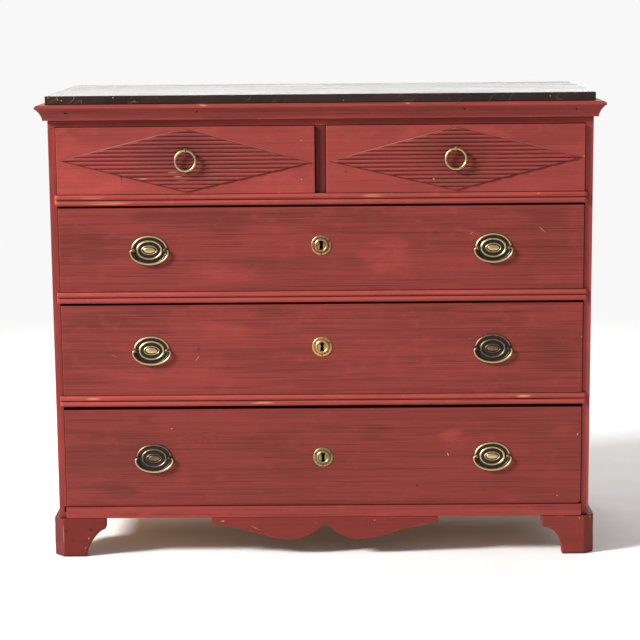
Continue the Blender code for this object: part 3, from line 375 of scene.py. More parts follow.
class Look:
    """A procedural material under construction; most methods add nodes and return sockets."""

    def __init__(self, name, colour=None, grain=X_AXIS):
        self.material = bpy.data.materials.new(name)
        self.material.use_nodes = True
        self.tree = self.material.node_tree
        self.shader = self.tree.nodes["Principled BSDF"]
        self.colour = colour
        self.grain = grain
        self.place = self.add("ShaderNodeTexCoord").outputs["Object"]

    def add(self, kind, inputs=None, **settings):
        """A node with its settings and inputs; an input is a value or another node's socket."""
        node = self.tree.nodes.new(kind)
        for key, value in settings.items():
            setattr(node, key, value)
        for key, value in (inputs or {}).items():
            self.feed(node.inputs[key], value)
        return node

    def feed(self, socket, value):
        """Link a socket to an input, or set its value."""
        if isinstance(value, bpy.types.NodeSocket):
            self.tree.links.new(value, socket)
        else:
            socket.default_value = value

    def math(self, operation, a, b=0.0):
        return self.add("ShaderNodeMath", {0: a, 1: b}, operation=operation).outputs[0]

    def times(self, first, *others):
        """The product of two or more values."""
        for other in others:
            first = self.math("MULTIPLY", first, other)
        return first

    def plus(self, a, b):
        return self.math("ADD", a, b)

    def minus(self, a, b):
        return self.math("SUBTRACT", a, b)

    def vector(self, operation, a, b=(0, 0, 0), c=(0, 0, 0)):
        node = self.add("ShaderNodeVectorMath", {0: a, 1: b, 2: c}, operation=operation)
        return node.outputs["Value" if operation in ("LENGTH", "DOT_PRODUCT") else "Vector"]

    def ramp(self, value, low, high, start=0.0, end=1.0):
        """A smooth step from start to end while value goes from low to high."""
        inputs = {"Value": value, "From Min": low, "From Max": high, "To Min": start, "To Max": end}
        return self.add("ShaderNodeMapRange", inputs, interpolation_type="SMOOTHSTEP").outputs[0]

    def mix(self, colour, tint, *factors):
        """A colour with a tint over it, by the product of some factors."""
        # The node's colour sockets come after those of its other data types
        inputs = {0: self.times(*factors), 6: colour, 7: tint}
        return self.add("ShaderNodeMix", inputs, data_type="RGBA").outputs[2]

    def lay(self, tint, *factors):
        """Lay a tint over the colour so far."""
        self.colour = self.mix(self.colour, tint, *factors)

    def stretched(self, along, across, shift=0.0):
        """Object coordinates scaled along and across the grain."""
        scale = [across, across, across]
        scale[self.grain] = along
        return self.vector("MULTIPLY_ADD", self.place, scale, (shift, shift, shift))

    def noise(self, along, across, detail, rough, shift=0.0):
        where = self.stretched(along, across, shift)
        inputs = {"Vector": where, "Scale": 1.0, "Detail": detail, "Roughness": rough}
        return self.add("ShaderNodeTexNoise", inputs).outputs[0]

    def flecks(self, along, across, size, share, shift):
        """Scattered small marks: cells whose random value is above share hold one."""
        where = self.stretched(along, across, shift)
        cells = self.add("ShaderNodeTexVoronoi", {"Vector": where, "Scale": 1.0})
        chance = self.add("ShaderNodeSeparateColor", {0: cells.outputs["Color"]}).outputs[0]
        near = self.ramp(cells.outputs["Distance"], size, size * 0.6)
        return self.times(near, self.math("GREATER_THAN", chance, share))

    def distance(self, where, x, z, half_width, half_height):
        """Distance on the front from a place, in shares of a half width and a half height."""
        away = self.vector("SUBTRACT", where, (x, 0, z))
        return self.vector("LENGTH", self.vector("MULTIPLY", away, (1 / half_width, 0, 1 / half_height)))

    def patch(self, where, *spot):
        """A soft patch on the front: 1 in its middle, 0 past its half width and half height."""
        return self.ramp(self.distance(where, *spot), 1.0, 0.15)

    def scratch(self, x, z, length, angle):
        """A fine straight line on the front."""
        away = self.vector("SUBTRACT", self.place, (x, 0, z))
        turn = self.add("ShaderNodeMapping", {"Vector": away, "Rotation": (0, angle, 0)}).outputs[0]
        scaled = self.vector("MULTIPLY", turn, (2 / length, 0, 1 / THIN_LINE_HALF))
        return self.ramp(self.vector("LENGTH", scaled), 1.0, 0.3)

    def edges(self, radius):
        """1 on sharp edges, 0 on flat faces."""
        round_normal = self.add("ShaderNodeBevel", {"Radius": radius}, samples=4).outputs[0]
        flat_normal = self.add("ShaderNodeNewGeometry").outputs["Normal"]
        return self.ramp(self.vector("DOT_PRODUCT", round_normal, flat_normal), 0.995, 0.9)

    def crevices(self, reach, low=0.35, high=0.85):
        """1 deep in corners and gaps, 0 in the open."""
        node = self.add("ShaderNodeAmbientOcclusion", {"Distance": reach}, samples=6)
        return self.ramp(node.outputs["AO"], high, low)

    def bump(self, height, strength, distance):
        node = self.add("ShaderNodeBump", {"Strength": strength, "Distance": distance, "Height": height})
        self.feed(self.shader.inputs["Normal"], node.outputs[0])

    def finish(self, roughness):
        """The material with the colour so far."""
        self.feed(self.shader.inputs["Base Color"], self.colour)
        self.feed(self.shader.inputs["Roughness"], roughness)
        return self.material


class Paint(Look):
    """Old red paint over pine, with marks at their own places on the front.

    Patches darken towards brown or, with a negative strength, redden; blushes are brighter red; some patches
    and blushes are painted shadow and painted light. Figures are ringed grain round a knot; dark spots are
    knots, other dark places and painted shade; rubs wear through to pale wood; all these are given as (x, z,
    half width, half height, strength). Pale lines are scratches, worn arrises and painted highlight, and dark
    lines are joints and painted shadow, given as (x, z, length, angle, strength).
    """

    def __init__(self, name, red, grain, marks):
        super().__init__(name, red, grain)
        self.red = red
        self.marks = marks or {}
        self.axes = self.add("ShaderNodeSeparateXYZ", {0: self.place}).outputs
        self.streaks = self.noise(5, 260, 4, 0.62, 5.3)
        self.mottle = self.noise(26, 40, 4, 0.6, 2.9)
        self.breaks = self.noise(34, 90, 5, 0.65, 6.2)
        inputs = {"Vector": self.stretched(4, 40, 1.3), "Scale": 1.0, "Detail": 5.0}
        wobble = self.add("ShaderNodeTexNoise", inputs).outputs["Color"]
        self.shaken = self.displaced(wobble, SHAKE)
        self.trembling = self.displaced(wobble, TREMBLE)

    def displaced(self, wobble, reach):
        """Object coordinates moved by up to half of reach either way."""
        return self.vector("SUBTRACT", self.vector("MULTIPLY_ADD", wobble, reach, self.place), reach / 2)

    def colour_grain(self, brown_share, contrast):
        """Brown streaks and lines along the grain, patches, figures, pale mottle and blushes; some patches
        and blushes are painted shadow and painted light.
        """
        shade = self.ramp(self.noise(2.2, 15, 6, 0.62, 0.7), 0.32, 0.76, 0.14, 0.86)
        for *spot, strength in self.marks.get("patches", ()):
            shade = self.plus(shade, self.times(self.patch(self.shaken, *spot), strength))
        for *spot, strength in self.marks.get("figures", ()):
            away = self.plus(self.distance(self.trembling, *spot), self.mottle)
            rings = self.math("SINE", self.times(away, FIGURE_RINGS))
            shade = self.plus(shade, self.times(rings, self.patch(self.trembling, *spot), strength))
        depth = STREAK_DEPTH * contrast
        shade = self.plus(shade, self.ramp(self.streaks, 0.35, 0.68, -depth, depth))
        self.lay(BROWN_AND_SHADE, self.ramp(shade, 0.0, 1.15), brown_share)
        self.lay(BROWN_AND_SHADE, self.ramp(self.noise(3.5, 620, 3, 0.6, 9.1), 0.5, 0.68, 0, LINE_DEPTH * contrast))
        self.lay(lighter(self.red, MOTTLE_LIGHT), self.ramp(self.mottle, 0.5, 0.78, 0, MOTTLE_DEPTH))
        for *spot, strength in self.marks.get("blushes", ()):
            uneven = self.ramp(self.times(self.mottle, self.streaks), 0.1, 0.4, 0.05, strength)
            self.lay(lighter(self.red, BLUSH_LIGHT), self.patch(self.shaken, *spot), uneven)

    def soil_and_shade(self, corner_grime_and_shade, crest_y):
        """Grime and painted shade in corners and, where reeds have their crests at crest_y, in the hollows
        between them.
        """
        # Grime and painted shade where ambient occlusion finds corners and gaps
        self.lay(DIRT_AND_SHADE, self.crevices(GRIME_AND_SHADE_REACH), corner_grime_and_shade)
        if crest_y is not None:
            # Grime and painted shade in the hollows between the reeds
            deep = self.minus(self.axes[Y_AXIS], crest_y)
            hollow = self.ramp(deep, REED_DEPTH * 0.42, REED_DEPTH * 0.95, 0, REED_GRIME_AND_SHADE)
            in_reeds = self.math("LESS_THAN", deep, (REED_DEPTH + LOZENGE_RAISE) / 2)
            self.lay(DIRT_AND_SHADE, hollow, in_reeds, self.ramp(self.mottle, 0.25, 0.6, 0.7, 1))

    def wear(self, share):
        """Edges rubbed bright and in places through to the wood, then the other marks, among them painted
        shade, highlight and shadow.
        """
        edge = self.edges(EDGE_RADIUS)
        bright = self.ramp(self.breaks, 0.4, 0.62, 0.15, EDGE_WEAR * share)
        self.lay(lighter(self.red, EDGE_LIGHT), edge, bright)
        self.lay(WORN_OCHRE, edge, self.ramp(self.breaks, 0.62, 0.7, 0, share))
        # Dark spots: knots, other dark places, and painted shade on the left foot's canted corner
        for *spot, strength in self.marks.get("knots", ()):
            self.lay(DIRT_AND_SHADE, self.patch(self.place, *spot), strength)
        for *spot, strength in self.marks.get("rubs", ()):
            grainy = self.ramp(self.streaks, 0.4, 0.62, 0, strength)
            self.lay(WORN_OCHRE, self.patch(self.trembling, *spot), grainy)
        # Pale lines are scratches, worn arrises and painted highlight; dark lines are joints and painted
        # shadow
        for kind, tint in (("scratches", WORN_CREAM_AND_HIGHLIGHT), ("dark_lines", DIRT_AND_SHADE)):
            for *line, strength in self.marks.get(kind, ()):
                self.lay(tint, self.scratch(*line), strength)

    def fleck(self):
        """Small chips and pits, which go into the relief with the grain."""
        height = self.plus(self.times(self.streaks, 0.7), self.times(self.mottle, 0.5))
        chips = self.flecks(42, 95, 0.085, 0.982, 3.7)
        pits = self.flecks(36, 70, 0.075, 0.965, 8.3)
        for flecks, tint, strength in ((chips, WORN_CREAM_AND_HIGHLIGHT, 0.55), (pits, DIRT_AND_SHADE, 0.75)):
            self.lay(tint, flecks, strength)
            height = self.minus(height, self.times(flecks, FLECK_RELIEF))
        self.bump(height, 0.3, 0.0007)

    def bare(self, behind, inside):
        """Bare wood behind a plane, with a ragged border and, if inside is given, only for |x| below it."""
        ragged = self.plus(self.times(self.breaks, BARE_RAGGED), behind)
        factors = [self.math("GREATER_THAN", self.axes[Y_AXIS], ragged)]
        if inside is not None:
            factors.append(self.math("LESS_THAN", self.math("ABSOLUTE", self.axes[X_AXIS]), inside))
        self.lay(pine_colour(self), *factors)


def pine_colour(look):
    """Bare pine: growth rings along the grain, a few darker bands and old grime."""
    rings = look.mix(PINE_LIGHT, PINE_DARK, look.ramp(look.noise(1.6, 70, 3, 0.5, 3.1), 0.36, 0.7, 0, 0.8))
    bands = look.mix(rings, PINE_AGED, look.ramp(look.noise(9, 520, 2, 0.5, 7.7), 0.5, 0.75, 0, 0.4))
    return look.mix(bands, PINE_AGED, look.ramp(look.noise(5, 9, 4, 0.6, 1.9), 0.4, 0.72, 0.15, 0.55))


def pine(name, grain):
    """Bare planed pine, darkened with age, with grime and painted shade in its corners."""
    look = Look(name, grain=grain)
    look.colour = pine_colour(look)
    # Grime and painted shade where ambient occlusion finds corners
    look.lay(DIRT_AND_SHADE, look.crevices(0.02), 0.55)
    height = look.noise(9, 420, 3, 0.6, 4.4)
    look.bump(height, 0.35, 0.0005)
    return look.finish(look.ramp(height, 0.3, 0.7, 0.62, 0.82))


def paint(name, red, brown_share, wear, marks=None, grain=X_AXIS, contrast=1.0, corner_grime_and_shade=CORNER_GRIME_AND_SHADE,
          bare_y=None, bare_x=None, crest_y=None):
    """A finished paint; contrast is that of its grain."""
    look = Paint(name, red, grain, marks)
    look.colour_grain(brown_share, contrast)
    look.soil_and_shade(corner_grime_and_shade, crest_y)
    look.wear(wear)
    look.fleck()
    if bare_y is not None:
        look.bare(bare_y, bare_x)
    look.shader.inputs["Specular IOR Level"].default_value = PAINT_SPECULAR
    return look.finish(look.ramp(look.mottle, 0.3, 0.72, 0.48, 0.66))


def marbled():
    """Dark marbled paint under gloss varnish: thin slanting veins, specks of ochre and white, worn edges."""
    look = Look("marbled_paint", srgb(36, 20, 16))
    look.lay(srgb(51, 33, 28), look.ramp(look.noise(7, 11, 5, 0.6, 0.4), 0.36, 0.68))
    slanted = look.add("ShaderNodeMapping", {"Vector": look.place, "Rotation": VEIN_TURN}).outputs[0]
    for shift, tint, width in VEINS:
        where = look.vector("MULTIPLY_ADD", slanted, VEIN_SCALE, (shift, shift, shift))
        vein = look.add("ShaderNodeTexNoise", {"Vector": where, "Scale": 1.0, "Detail": 2.5}).outputs[0]
        thin = look.ramp(look.math("ABSOLUTE", look.minus(vein, 0.5)), width, 0.0)
        look.lay(tint, thin, look.ramp(look.noise(8, 8, 3, 0.5, shift + 2.2), 0.53, 0.62))
    look.lay(srgb(214, 186, 140), look.flecks(120, 120, 0.15, 0.95, 1.1))
    look.lay(srgb(150, 104, 78), look.flecks(320, 320, 0.2, 0.9, 5.7), 0.5)
    look.lay(srgb(150, 112, 84), look.edges(0.0016), look.ramp(look.noise(60, 60, 3, 0.6), 0.5, 0.62), 0.5)
    wear = look.noise(5, 60, 4, 0.6, 6.6)
    look.bump(wear, 0.02, 0.0004)
    return look.finish(look.ramp(wear, 0.3, 0.7, 0.12, 0.19))


def brass(name, bright, dark, patina):
    """Old brass: polished where it is handled, brown in its hollows."""
    look = Look(name, bright)
    # The patina attribute holds patina and, on the plates, painted shadow of the bail
    hollow = look.add("ShaderNodeAttribute", attribute_name="patina").outputs["Fac"]
    cloud = look.noise(160, 160, 4, 0.6, 1.7)
    fine = look.noise(900, 900, 3, 0.6, 4.1)
    amount = look.plus(hollow, look.ramp(cloud, 0.3, 0.7, patina - 0.25, patina + 0.25))
    amount = look.plus(amount, look.times(look.crevices(0.003, 0.3, 0.9), 0.55))
    amount = look.ramp(amount, 0.15, 0.95)
    look.lay(dark, amount)
    look.feed(look.shader.inputs["Metallic"], look.ramp(amount, 0.2, 1.0, 1.0, 0.4))
    look.bump(look.plus(fine, cloud), 0.1, 0.0003)
    return look.finish(look.plus(look.ramp(amount, 0, 1, 0.37, 0.48), look.ramp(fine, 0.3, 0.7, -0.03, 0.06)))


def iron():
    """Dark forged iron with a little rust."""
    look = Look("old_iron", srgb(58, 54, 51))
    rust = look.noise(120, 120, 5, 0.65)
    look.lay(srgb(104, 62, 40), look.ramp(rust, 0.45, 0.68))
    look.shader.inputs["Metallic"].default_value = 0.6
    look.bump(rust, 0.4, 0.0006)
    return look.finish(look.ramp(rust, 0.3, 0.7, 0.45, 0.75))


def middle(node):
    """Centre of a node's box."""
    low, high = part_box(node)
    return (low + high) / 2


def half_size(node):
    """Half the width, depth and height of a node's box."""
    low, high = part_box(node)
    return (high - low) / 2


def on_front(node, **lists):
    """Marks given in shares of a drawer front, turned into metres; pale lines keep their length and angle."""
    low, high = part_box(node)
    half, tall = (high.x - low.x) / 2, high.z - low.z
    marks = {}
    for kind, shares in lists.items():
        marks[kind] = []
        for u, v, first, second, strength in shares:
            if kind != "scratches":
                first, second = first * half, second * tall
            marks[kind].append((middle(node).x + u * half, low.z + v * tall, first, second, strength))
    return marks


def lozenge_size(drawer):
    """Half width and half height of the lozenge on a small drawer front."""
    half = half_size(drawer + "_front")
    return half.x - LOZENGE_END_MARGIN, half.z - LOZENGE_EDGE_MARGIN


def lozenge_corners(drawer):
    """Left, top, right and bottom points of the lozenge on a small drawer front, as (x, z)."""
    centre = middle(drawer + "_front")
    half, tall = lozenge_size(drawer)
    left_rise, right_rise = LOZENGE_RISES[drawer]
    return [(centre.x - half, centre.z + left_rise), (centre.x, centre.z + tall),
            (centre.x + half, centre.z + right_rise), (centre.x, centre.z - tall)]


def lozenge_highlights_and_shadows(corners):
    """Pale lines of worn arris and painted highlight along the upper borders of a lozenge and painted shadow
    along the lower ones.
    """
    lines = {"scratches": [], "dark_lines": []}
    for start, end, (kind, strength) in zip(corners, corners[1:] + corners[:1], LOZENGE_LIGHT_AND_SHADE):
        run = Vector(end) - Vector(start)
        centre = (Vector(end) + Vector(start)) / 2
        lines[kind].append((*centre, run.length * LOZENGE_LINE_REACH, math.atan2(run.y, run.x), strength))
    return lines


def together(*several):
    """Several groups of marks as one."""
    marks = {}
    for group in several:
        for kind, entries in group.items():
            marks.setdefault(kind, []).extend(entries)
    return marks


LOZENGES = {drawer: lozenge_corners(drawer) for drawer in SMALL_DRAWERS}

# Marks on the long drawers, as shares of their fronts
UPPER_MARKS = on_front(
    "drawer_upper_front",
    patches=[(-0.95, 0.4, 0.22, 0.6, 0.35), (-0.66, 0.9, 0.08, 0.1, 0.7), (-0.87, 0.62, 0.13, 0.11, 0.6),
             (-0.48, 0.87, 0.22, 0.13, 0.6), (-0.34, 0.77, 0.1, 0.22, 0.5),
             (-0.48, 0.58, 0.17, 0.14, -0.5), (-0.4, 0.2, 0.17, 0.16, -0.7),
             (0.28, 0.45, 0.1, 0.22, -0.8), (0.56, 0.69, 0.04, 0.06, -0.7), (0.86, 0.85, 0.14, 0.17, 0.7),
             (0.83, 0.3, 0.19, 0.27, 0.4), (0.2, 0.9, 0.18, 0.17, 0.4)],
    blushes=[(0.27, 0.42, 0.15, 0.36, 0.75), (-0.38, 0.2, 0.2, 0.2, 0.5), (0.56, 0.69, 0.05, 0.09, 0.8)],
    scratches=[(0.84, 0.71, 0.024, -math.pi / 4, 0.35), (0.572, 0.674, 0.012, 0.7, 0.3)])
MIDDLE_MARKS = on_front(
    "drawer_middle_front",
    patches=[(-0.92, 0.5, 0.25, 0.6, 0.35), (-0.89, 0.8, 0.14, 0.15, 0.4), (-0.68, 0.92, 0.05, 0.09, 0.8),
             (-0.2, 0.92, 0.17, 0.12, 0.6), (-0.17, 0.65, 0.14, 0.07, 0.5), (-0.42, 0.7, 0.2, 0.16, -0.5),
             (-0.6, 0.22, 0.28, 0.15, -0.6), (0.7, 0.83, 0.09, 0.22, 0.65), (0.41, 0.93, 0.12, 0.11, 0.5),
             (0.9, 0.5, 0.12, 0.4, 0.4)],
    blushes=[(-0.42, 0.72, 0.2, 0.17, 0.5), (-0.55, 0.22, 0.28, 0.15, 0.5)],
    knots=[(-0.475, 0.52, 0.009, 0.035, 0.5)],
    scratches=[(-0.48, 0.41, 0.02, 0.95, 0.4), (-0.8, 0.44, 0.016, -0.6, 0.2)])
LOWER_MARKS = on_front(
    "drawer_lower_front",
    patches=[(-0.85, 0.55, 0.35, 0.6, 0.35), (-0.66, 0.9, 0.06, 0.1, 0.6), (-0.81, 0.18, 0.11, 0.14, 0.8),
             (-0.19, 0.67, 0.19, 0.16, 0.5), (-0.48, 0.64, 0.11, 0.19, -0.4),
             (0.21, 0.74, 0.09, 0.13, 0.6), (0.51, 0.68, 0.06, 0.11, -0.9), (0.94, 0.77, 0.1, 0.14, -0.4),
             (0.73, 0.17, 0.24, 0.17, 0.35)],
    blushes=[(0.51, 0.68, 0.1, 0.17, 0.9), (0.92, 0.77, 0.1, 0.16, 0.6)],
    figures=[(-0.48, 0.66, 0.12, 0.2, 0.6)],
    knots=[(0.364, 0.2, 0.008, 0.022, 0.8)],
    scratches=[(0.484, 0.52, 0.01, -1.15, 1.0), (0.985, 0.72, 0.007, 1.2, 0.9)])

# Marks on the small drawers: painted highlight and shadow on the borders of the lozenges, and marks in shares
# of the fronts, among them painted shadow and painted light
SMALL_MARKS = together(
    *[lozenge_highlights_and_shadows(LOZENGES[drawer]) for drawer in SMALL_DRAWERS],
    on_front("drawer_small_left_front",
             # Patches darken the top of the front as painted shadow of the cornice; blushes lighten its lower
             # corners as painted light
             patches=[(-0.65, 0.95, 0.45, 0.3, 0.7), (0.6, 0.95, 0.45, 0.25, 0.5)],
             blushes=[(-0.75, 0.1, 0.5, 0.35, 0.6), (0.7, 0.1, 0.4, 0.35, 0.5)],
             rubs=[(-0.1, 0.33, 0.06, 0.011, 1.0), (-0.05, 0.265, 0.05, 0.01, 0.9),
                   (-0.31, 0.235, 0.05, 0.011, 1.0), (-0.03, 0.205, 0.06, 0.01, 0.9)],
             knots=[(-0.498, 0.263, 0.016, 0.03, 0.9), (-0.5, 0.2, 0.005, 0.09, 0.45),
                    (-0.05, 0.62, 0.5, 0.5, 0.3)]),
    on_front("drawer_small_right_front",
             # Patches darken the top of the front as painted shadow of the cornice
             patches=[(-0.6, 0.92, 0.45, 0.35, 0.6), (0.65, 0.9, 0.45, 0.4, 0.7)],
             knots=[(-0.85, 0.32, 0.02, 0.03, 0.4), (0.43, 0.22, 0.02, 0.03, 0.4),
                    (0.0, 0.6, 0.45, 0.5, 0.3)],
             scratches=[(-0.17, 0.2, 0.006, 0.4, 0.9)]))

# Marks on the case, in metres; those of the stiles are joints with the frieze rail
CORNICE_RUB_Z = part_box("cornice_front")[1].z - 0.002
FRIEZE_JOINT_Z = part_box("frieze_rail")[0].z + 0.0015
RAIL_MARKS = {"rubs": [(-0.4815, 0.784, 0.034, 0.004, 0.9), (-0.4565, 0.772, 0.065, 0.004, 0.9),
                       (0.111, 0.784, 0.034, 0.004, 0.8), (-0.492, 0.575, 0.014, 0.004, 0.7),
                       (-0.488, 0.35, 0.022, 0.004, 0.8), (-0.131, 0.338, 0.034, 0.004, 0.9),
                       (0.432, 0.35, 0.022, 0.004, 0.8)]}
TRIM_MARKS = {"rubs": [(-0.25, CORNICE_RUB_Z, 0.012, 0.004, 0.9),
                       (0.182, CORNICE_RUB_Z, 0.007, 0.004, 0.9)]}
APRON_MARKS = {"scratches": [(-0.219, 0.078, 0.01, 0.1, 0.8), (0.1105, 0.078, 0.005, 0.3, 0.8),
                             (-0.148, 0.062, 0.026, -0.5, 0.3)]}
STILE_MARKS = {"dark_lines": [(-0.567, FRIEZE_JOINT_Z, 0.018, 0.12, 0.8),
                         (0.567, FRIEZE_JOINT_Z, 0.018, -0.05, 0.6)]}
# The last dark spot darkens the left foot's canted corner, where the key light falls, as painted shade
FOOT_LEFT_MARKS = {"knots": [(-0.56, 0.058, 0.008, 0.006, 0.6), (-0.507, 0.0605, 0.009, 0.006, 0.65),
                             (-0.545, 0.037, 0.007, 0.006, 0.5), (-0.518, 0.035, 0.007, 0.006, 0.4),
                             (-0.59, 0.045, 0.03, 0.14, 0.35)],
                   "scratches": [(-0.5116, 0.041, 0.005, 1.2, 0.8), (-0.519, 0.0195, 0.007, 0.9, 0.5),
                                 (-0.566, 0.05, 0.064, QUARTER_TURN, 0.25)]}
FOOT_RIGHT_MARKS = {"scratches": [(0.5547, 0.08, 0.004, 0.3, 0.9), (0.579, 0.08, 0.004, 0.2, 0.9)]}

# Materials
# A lighter red on the frieze: painted light against the cornice's shadow on it
FRIEZE_LIT_PAINT = paint("case_paint_frieze_lit", srgb(161, 65, 58), 0.45, 0.7, STILE_MARKS, bare_y=BARE_CASE_Y)
CASE_PAINT = paint("case_paint_along", srgb(143, 56, 50), 0.45, 0.7, bare_y=BARE_CASE_Y, contrast=1.4)
RAIL_PAINT = paint("case_paint_rail", srgb(164, 69, 61), 0.35, 0.9, RAIL_MARKS, bare_y=BARE_CASE_Y)
TRIM_PAINT = paint("case_paint_trim", RED_TRIM, 0.45, 0.7, TRIM_MARKS, contrast=1.4)
SIDE_TRIM_PAINT = paint("case_paint_side_trim", RED_TRIM, 0.45, 0.7, grain=Y_AXIS, contrast=1.4)
APRON_PAINT = paint("case_paint_apron", srgb(122, 44, 37), 0.35, 0.8, APRON_MARKS)
FOOT_PAINTS = {
    "left": paint("case_paint_foot_left", srgb(107, 35, 28), 0.35, 0.6, FOOT_LEFT_MARKS, contrast=0.7),
    "right": paint("case_paint_foot_right", srgb(122, 46, 39), 0.45, 0.6, FOOT_RIGHT_MARKS, contrast=0.7)}
# Stiles, the right one in a lighter red as painted light, both with less painted shade in their corners
STILE_PAINTS = {
    label: paint("case_paint_upright_" + label, red, 0.5, 0.5, STILE_MARKS, grain=Z_AXIS, bare_y=BARE_CASE_Y,
                 bare_x=INNER_X + TOUCH, corner_grime_and_shade=STILE_GRIME_AND_SHADE)
    for label, red in RED_STILES_RIGHT_LIT.items()}
# A darker red on the set-back partition: painted shade of its recess
PARTITION_SHADED_PAINT = paint("case_paint_partition_shaded", srgb(104, 38, 34), 0.5, 0.5, grain=Z_AXIS, bare_y=BARE_CASE_Y)
SMALL_PAINT = paint("small_drawer_paint", srgb(155, 63, 57), 0.3, 0.7, SMALL_MARKS, bare_y=BARE_FRONT_Y,
                    crest_y=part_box("drawer_small_left_front")[0].y, contrast=0.7)
LONG_PAINTS = {
    drawer: paint(drawer + "_paint", red, 0.5, 0.5, marks, bare_y=BARE_FRONT_Y, contrast=1.5)
    for drawer, red, marks in zip(LONG_DRAWERS, (RED_LONG, RED_LONG, RED_LOWER),
                                  (UPPER_MARKS, MIDDLE_MARKS, LOWER_MARKS))}
PINE_ACROSS = pine("bare_pine_across", X_AXIS)
PINE_BACK = pine("bare_pine_depth", Y_AXIS)
MARBLED = marbled()
BRASS = brass("aged_brass", srgb(210, 184, 136), srgb(30, 20, 13), 0.12)
BRASS_PALE = brass("pale_brass", srgb(210, 186, 132), srgb(56, 42, 29), 0.24)
BRASS_DARK = brass("dark_brass", srgb(142, 117, 86), srgb(30, 23, 19), 0.36)
BRASS_KEYS = {"drawer_upper": brass("coppery_brass", srgb(196, 152, 102), srgb(84, 52, 30), 0.32),
              "drawer_middle": brass("golden_brass", srgb(208, 168, 108), srgb(88, 62, 36), 0.15),
              "drawer_lower": brass("greenish_brass", srgb(172, 152, 102), srgb(84, 72, 44), 0.28)}
IRON = iron()


def body_of(node):
    """Name of the body that a node rides on."""
    return frame["nodes"][node]["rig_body"]


def new_object(name, data):
    """An object in the scene."""
    obj = bpy.data.objects.new(name, data)
    bpy.context.scene.collection.objects.link(obj)
    return obj


def plain_mesh(bm, name):
    """A mesh from a bmesh, which is freed."""
    mesh = bpy.data.meshes.new(name)
    bm.to_mesh(mesh)
    bm.free()
    return mesh


def smooth_mesh(bm, name):
    """A mesh from a bmesh, welded, with its faces turned out and smooth below the limit angle."""
    bmesh.ops.remove_doubles(bm, verts=bm.verts, dist=WELD)
    bmesh.ops.dissolve_degenerate(bm, dist=WELD, edges=bm.edges)
    bmesh.ops.recalc_face_normals(bm, faces=bm.faces)
    mesh = plain_mesh(bm, name)
    mesh.shade_smooth()
    mesh.set_sharp_from_angle(angle=SMOOTH_LIMIT)
    return mesh


def add_piece(name, mesh, material, body, nodes=()):
    """A visible piece that rides on a body and may stand for CAD nodes."""
    obj = new_object(name, mesh)
    mesh.materials.clear()
    mesh.materials.append(material)
    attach(obj, body)
    if nodes:
        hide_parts(*nodes)
    return obj


def stand_for(node, bm, material, flat=True):
    """A detailed piece in place of one CAD node; flat keeps the shading of large faces level."""
    name = node + "_worn"
    obj = add_piece(name, smooth_mesh(bm, name), material, body_of(node), (node,))
    if flat:
        obj.modifiers.new("even_normals", "WEIGHTED_NORMAL").keep_sharp = True


def cad_shape(node):
    """A node's solid as a bmesh with whole flat faces."""
    bm = bmesh.new()
    bm.from_mesh(frame["nodes"][node].data)
    bmesh.ops.remove_doubles(bm, verts=bm.verts, dist=WELD)
    bmesh.ops.dissolve_limit(bm, angle_limit=FLAT_ANGLE, verts=bm.verts, edges=bm.edges)
    return bm


def at_front(y):
    """A test for edges that lie in a front face."""
    return lambda edge: all(vertex.co.y < y + TOUCH for vertex in edge.verts)


def on_side_board(hand):
    """A test for the outer edges of a side board and the upright ones in its front."""
    def chosen(edge):
        outer = all(hand * vertex.co.x > HALF_WIDTH - TOUCH for vertex in edge.verts)
        upright = abs(edge.verts[0].co.z - edge.verts[1].co.z) > UPRIGHT_LENGTH
        return outer or (upright and at_front(FRONT_Y)(edge))
    return chosen


def on_box_edges(low, high):
    """A test for edges that lie along one of the twelve edges of a box."""
    def chosen(edge):
        sides = 0
        for axis in range(3):
            ends = [vertex.co[axis] for vertex in edge.verts]
            for limit in (low[axis], high[axis]):
                sides += all(abs(end - limit) < TOUCH for end in ends)
        return sides >= 2
    return chosen


def round_edges(bm, radius, chosen, steps=ROUND_STEPS):
    """Round the sharp convex edges that chosen picks."""
    bm.normal_update()
    convex = [edge for edge in bm.edges if len(edge.link_faces) == 2 and edge.is_convex]
    edges = [edge for edge in convex if edge.calc_face_angle() > SHARP_ANGLE and chosen(edge)]
    bmesh.ops.bevel(bm, geom=edges, offset=radius, offset_type="OFFSET", segments=steps, profile=0.5,
                    affect="EDGES", clamp_overlap=True)
    return bm


def rounded_board(node, material, radius, chosen=None):
    """A board with its outer edges, or those that chosen picks, worn round."""
    bm = round_edges(cad_shape(node), radius, chosen or on_box_edges(*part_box(node)))
    stand_for(node, bm, material)


def fill_ends(bm, rings):
    """Faces inside the first ring of vertices and the last."""
    bm.faces.new(rings[0])
    bm.faces.new(reversed(rings[-1]))


def loft(sections):
    """A closed skin through closed sections of equally many points, with both ends filled."""
    bm = bmesh.new()
    rings = [[bm.verts.new(point) for point in section] for section in sections]
    count = len(rings[0])
    for ring, after in zip(rings, rings[1:]):
        for step in range(count):
            following = (step + 1) % count
            bm.faces.new((ring[step], ring[following], after[following], after[step]))
    fill_ends(bm, rings)
    return bm


def prism(points, place):
    """A flat outline given thickness; place maps (u, v, 0 or 1) into the frame."""
    return loft([[place(u, v, end) for u, v in points] for end in (0, 1)])


def box_shape(low, high):
    """A box between two corners."""
    bm = bmesh.new()
    bmesh.ops.create_cube(bm, size=1)
    bmesh.ops.scale(bm, vec=Vector(high) - Vector(low), verts=bm.verts)
    return moved(bm, (Vector(high) + Vector(low)) / 2)


def turns(count):
    """Angles of a full turn in equal steps."""
    return [FULL_TURN * step / count for step in range(count)]


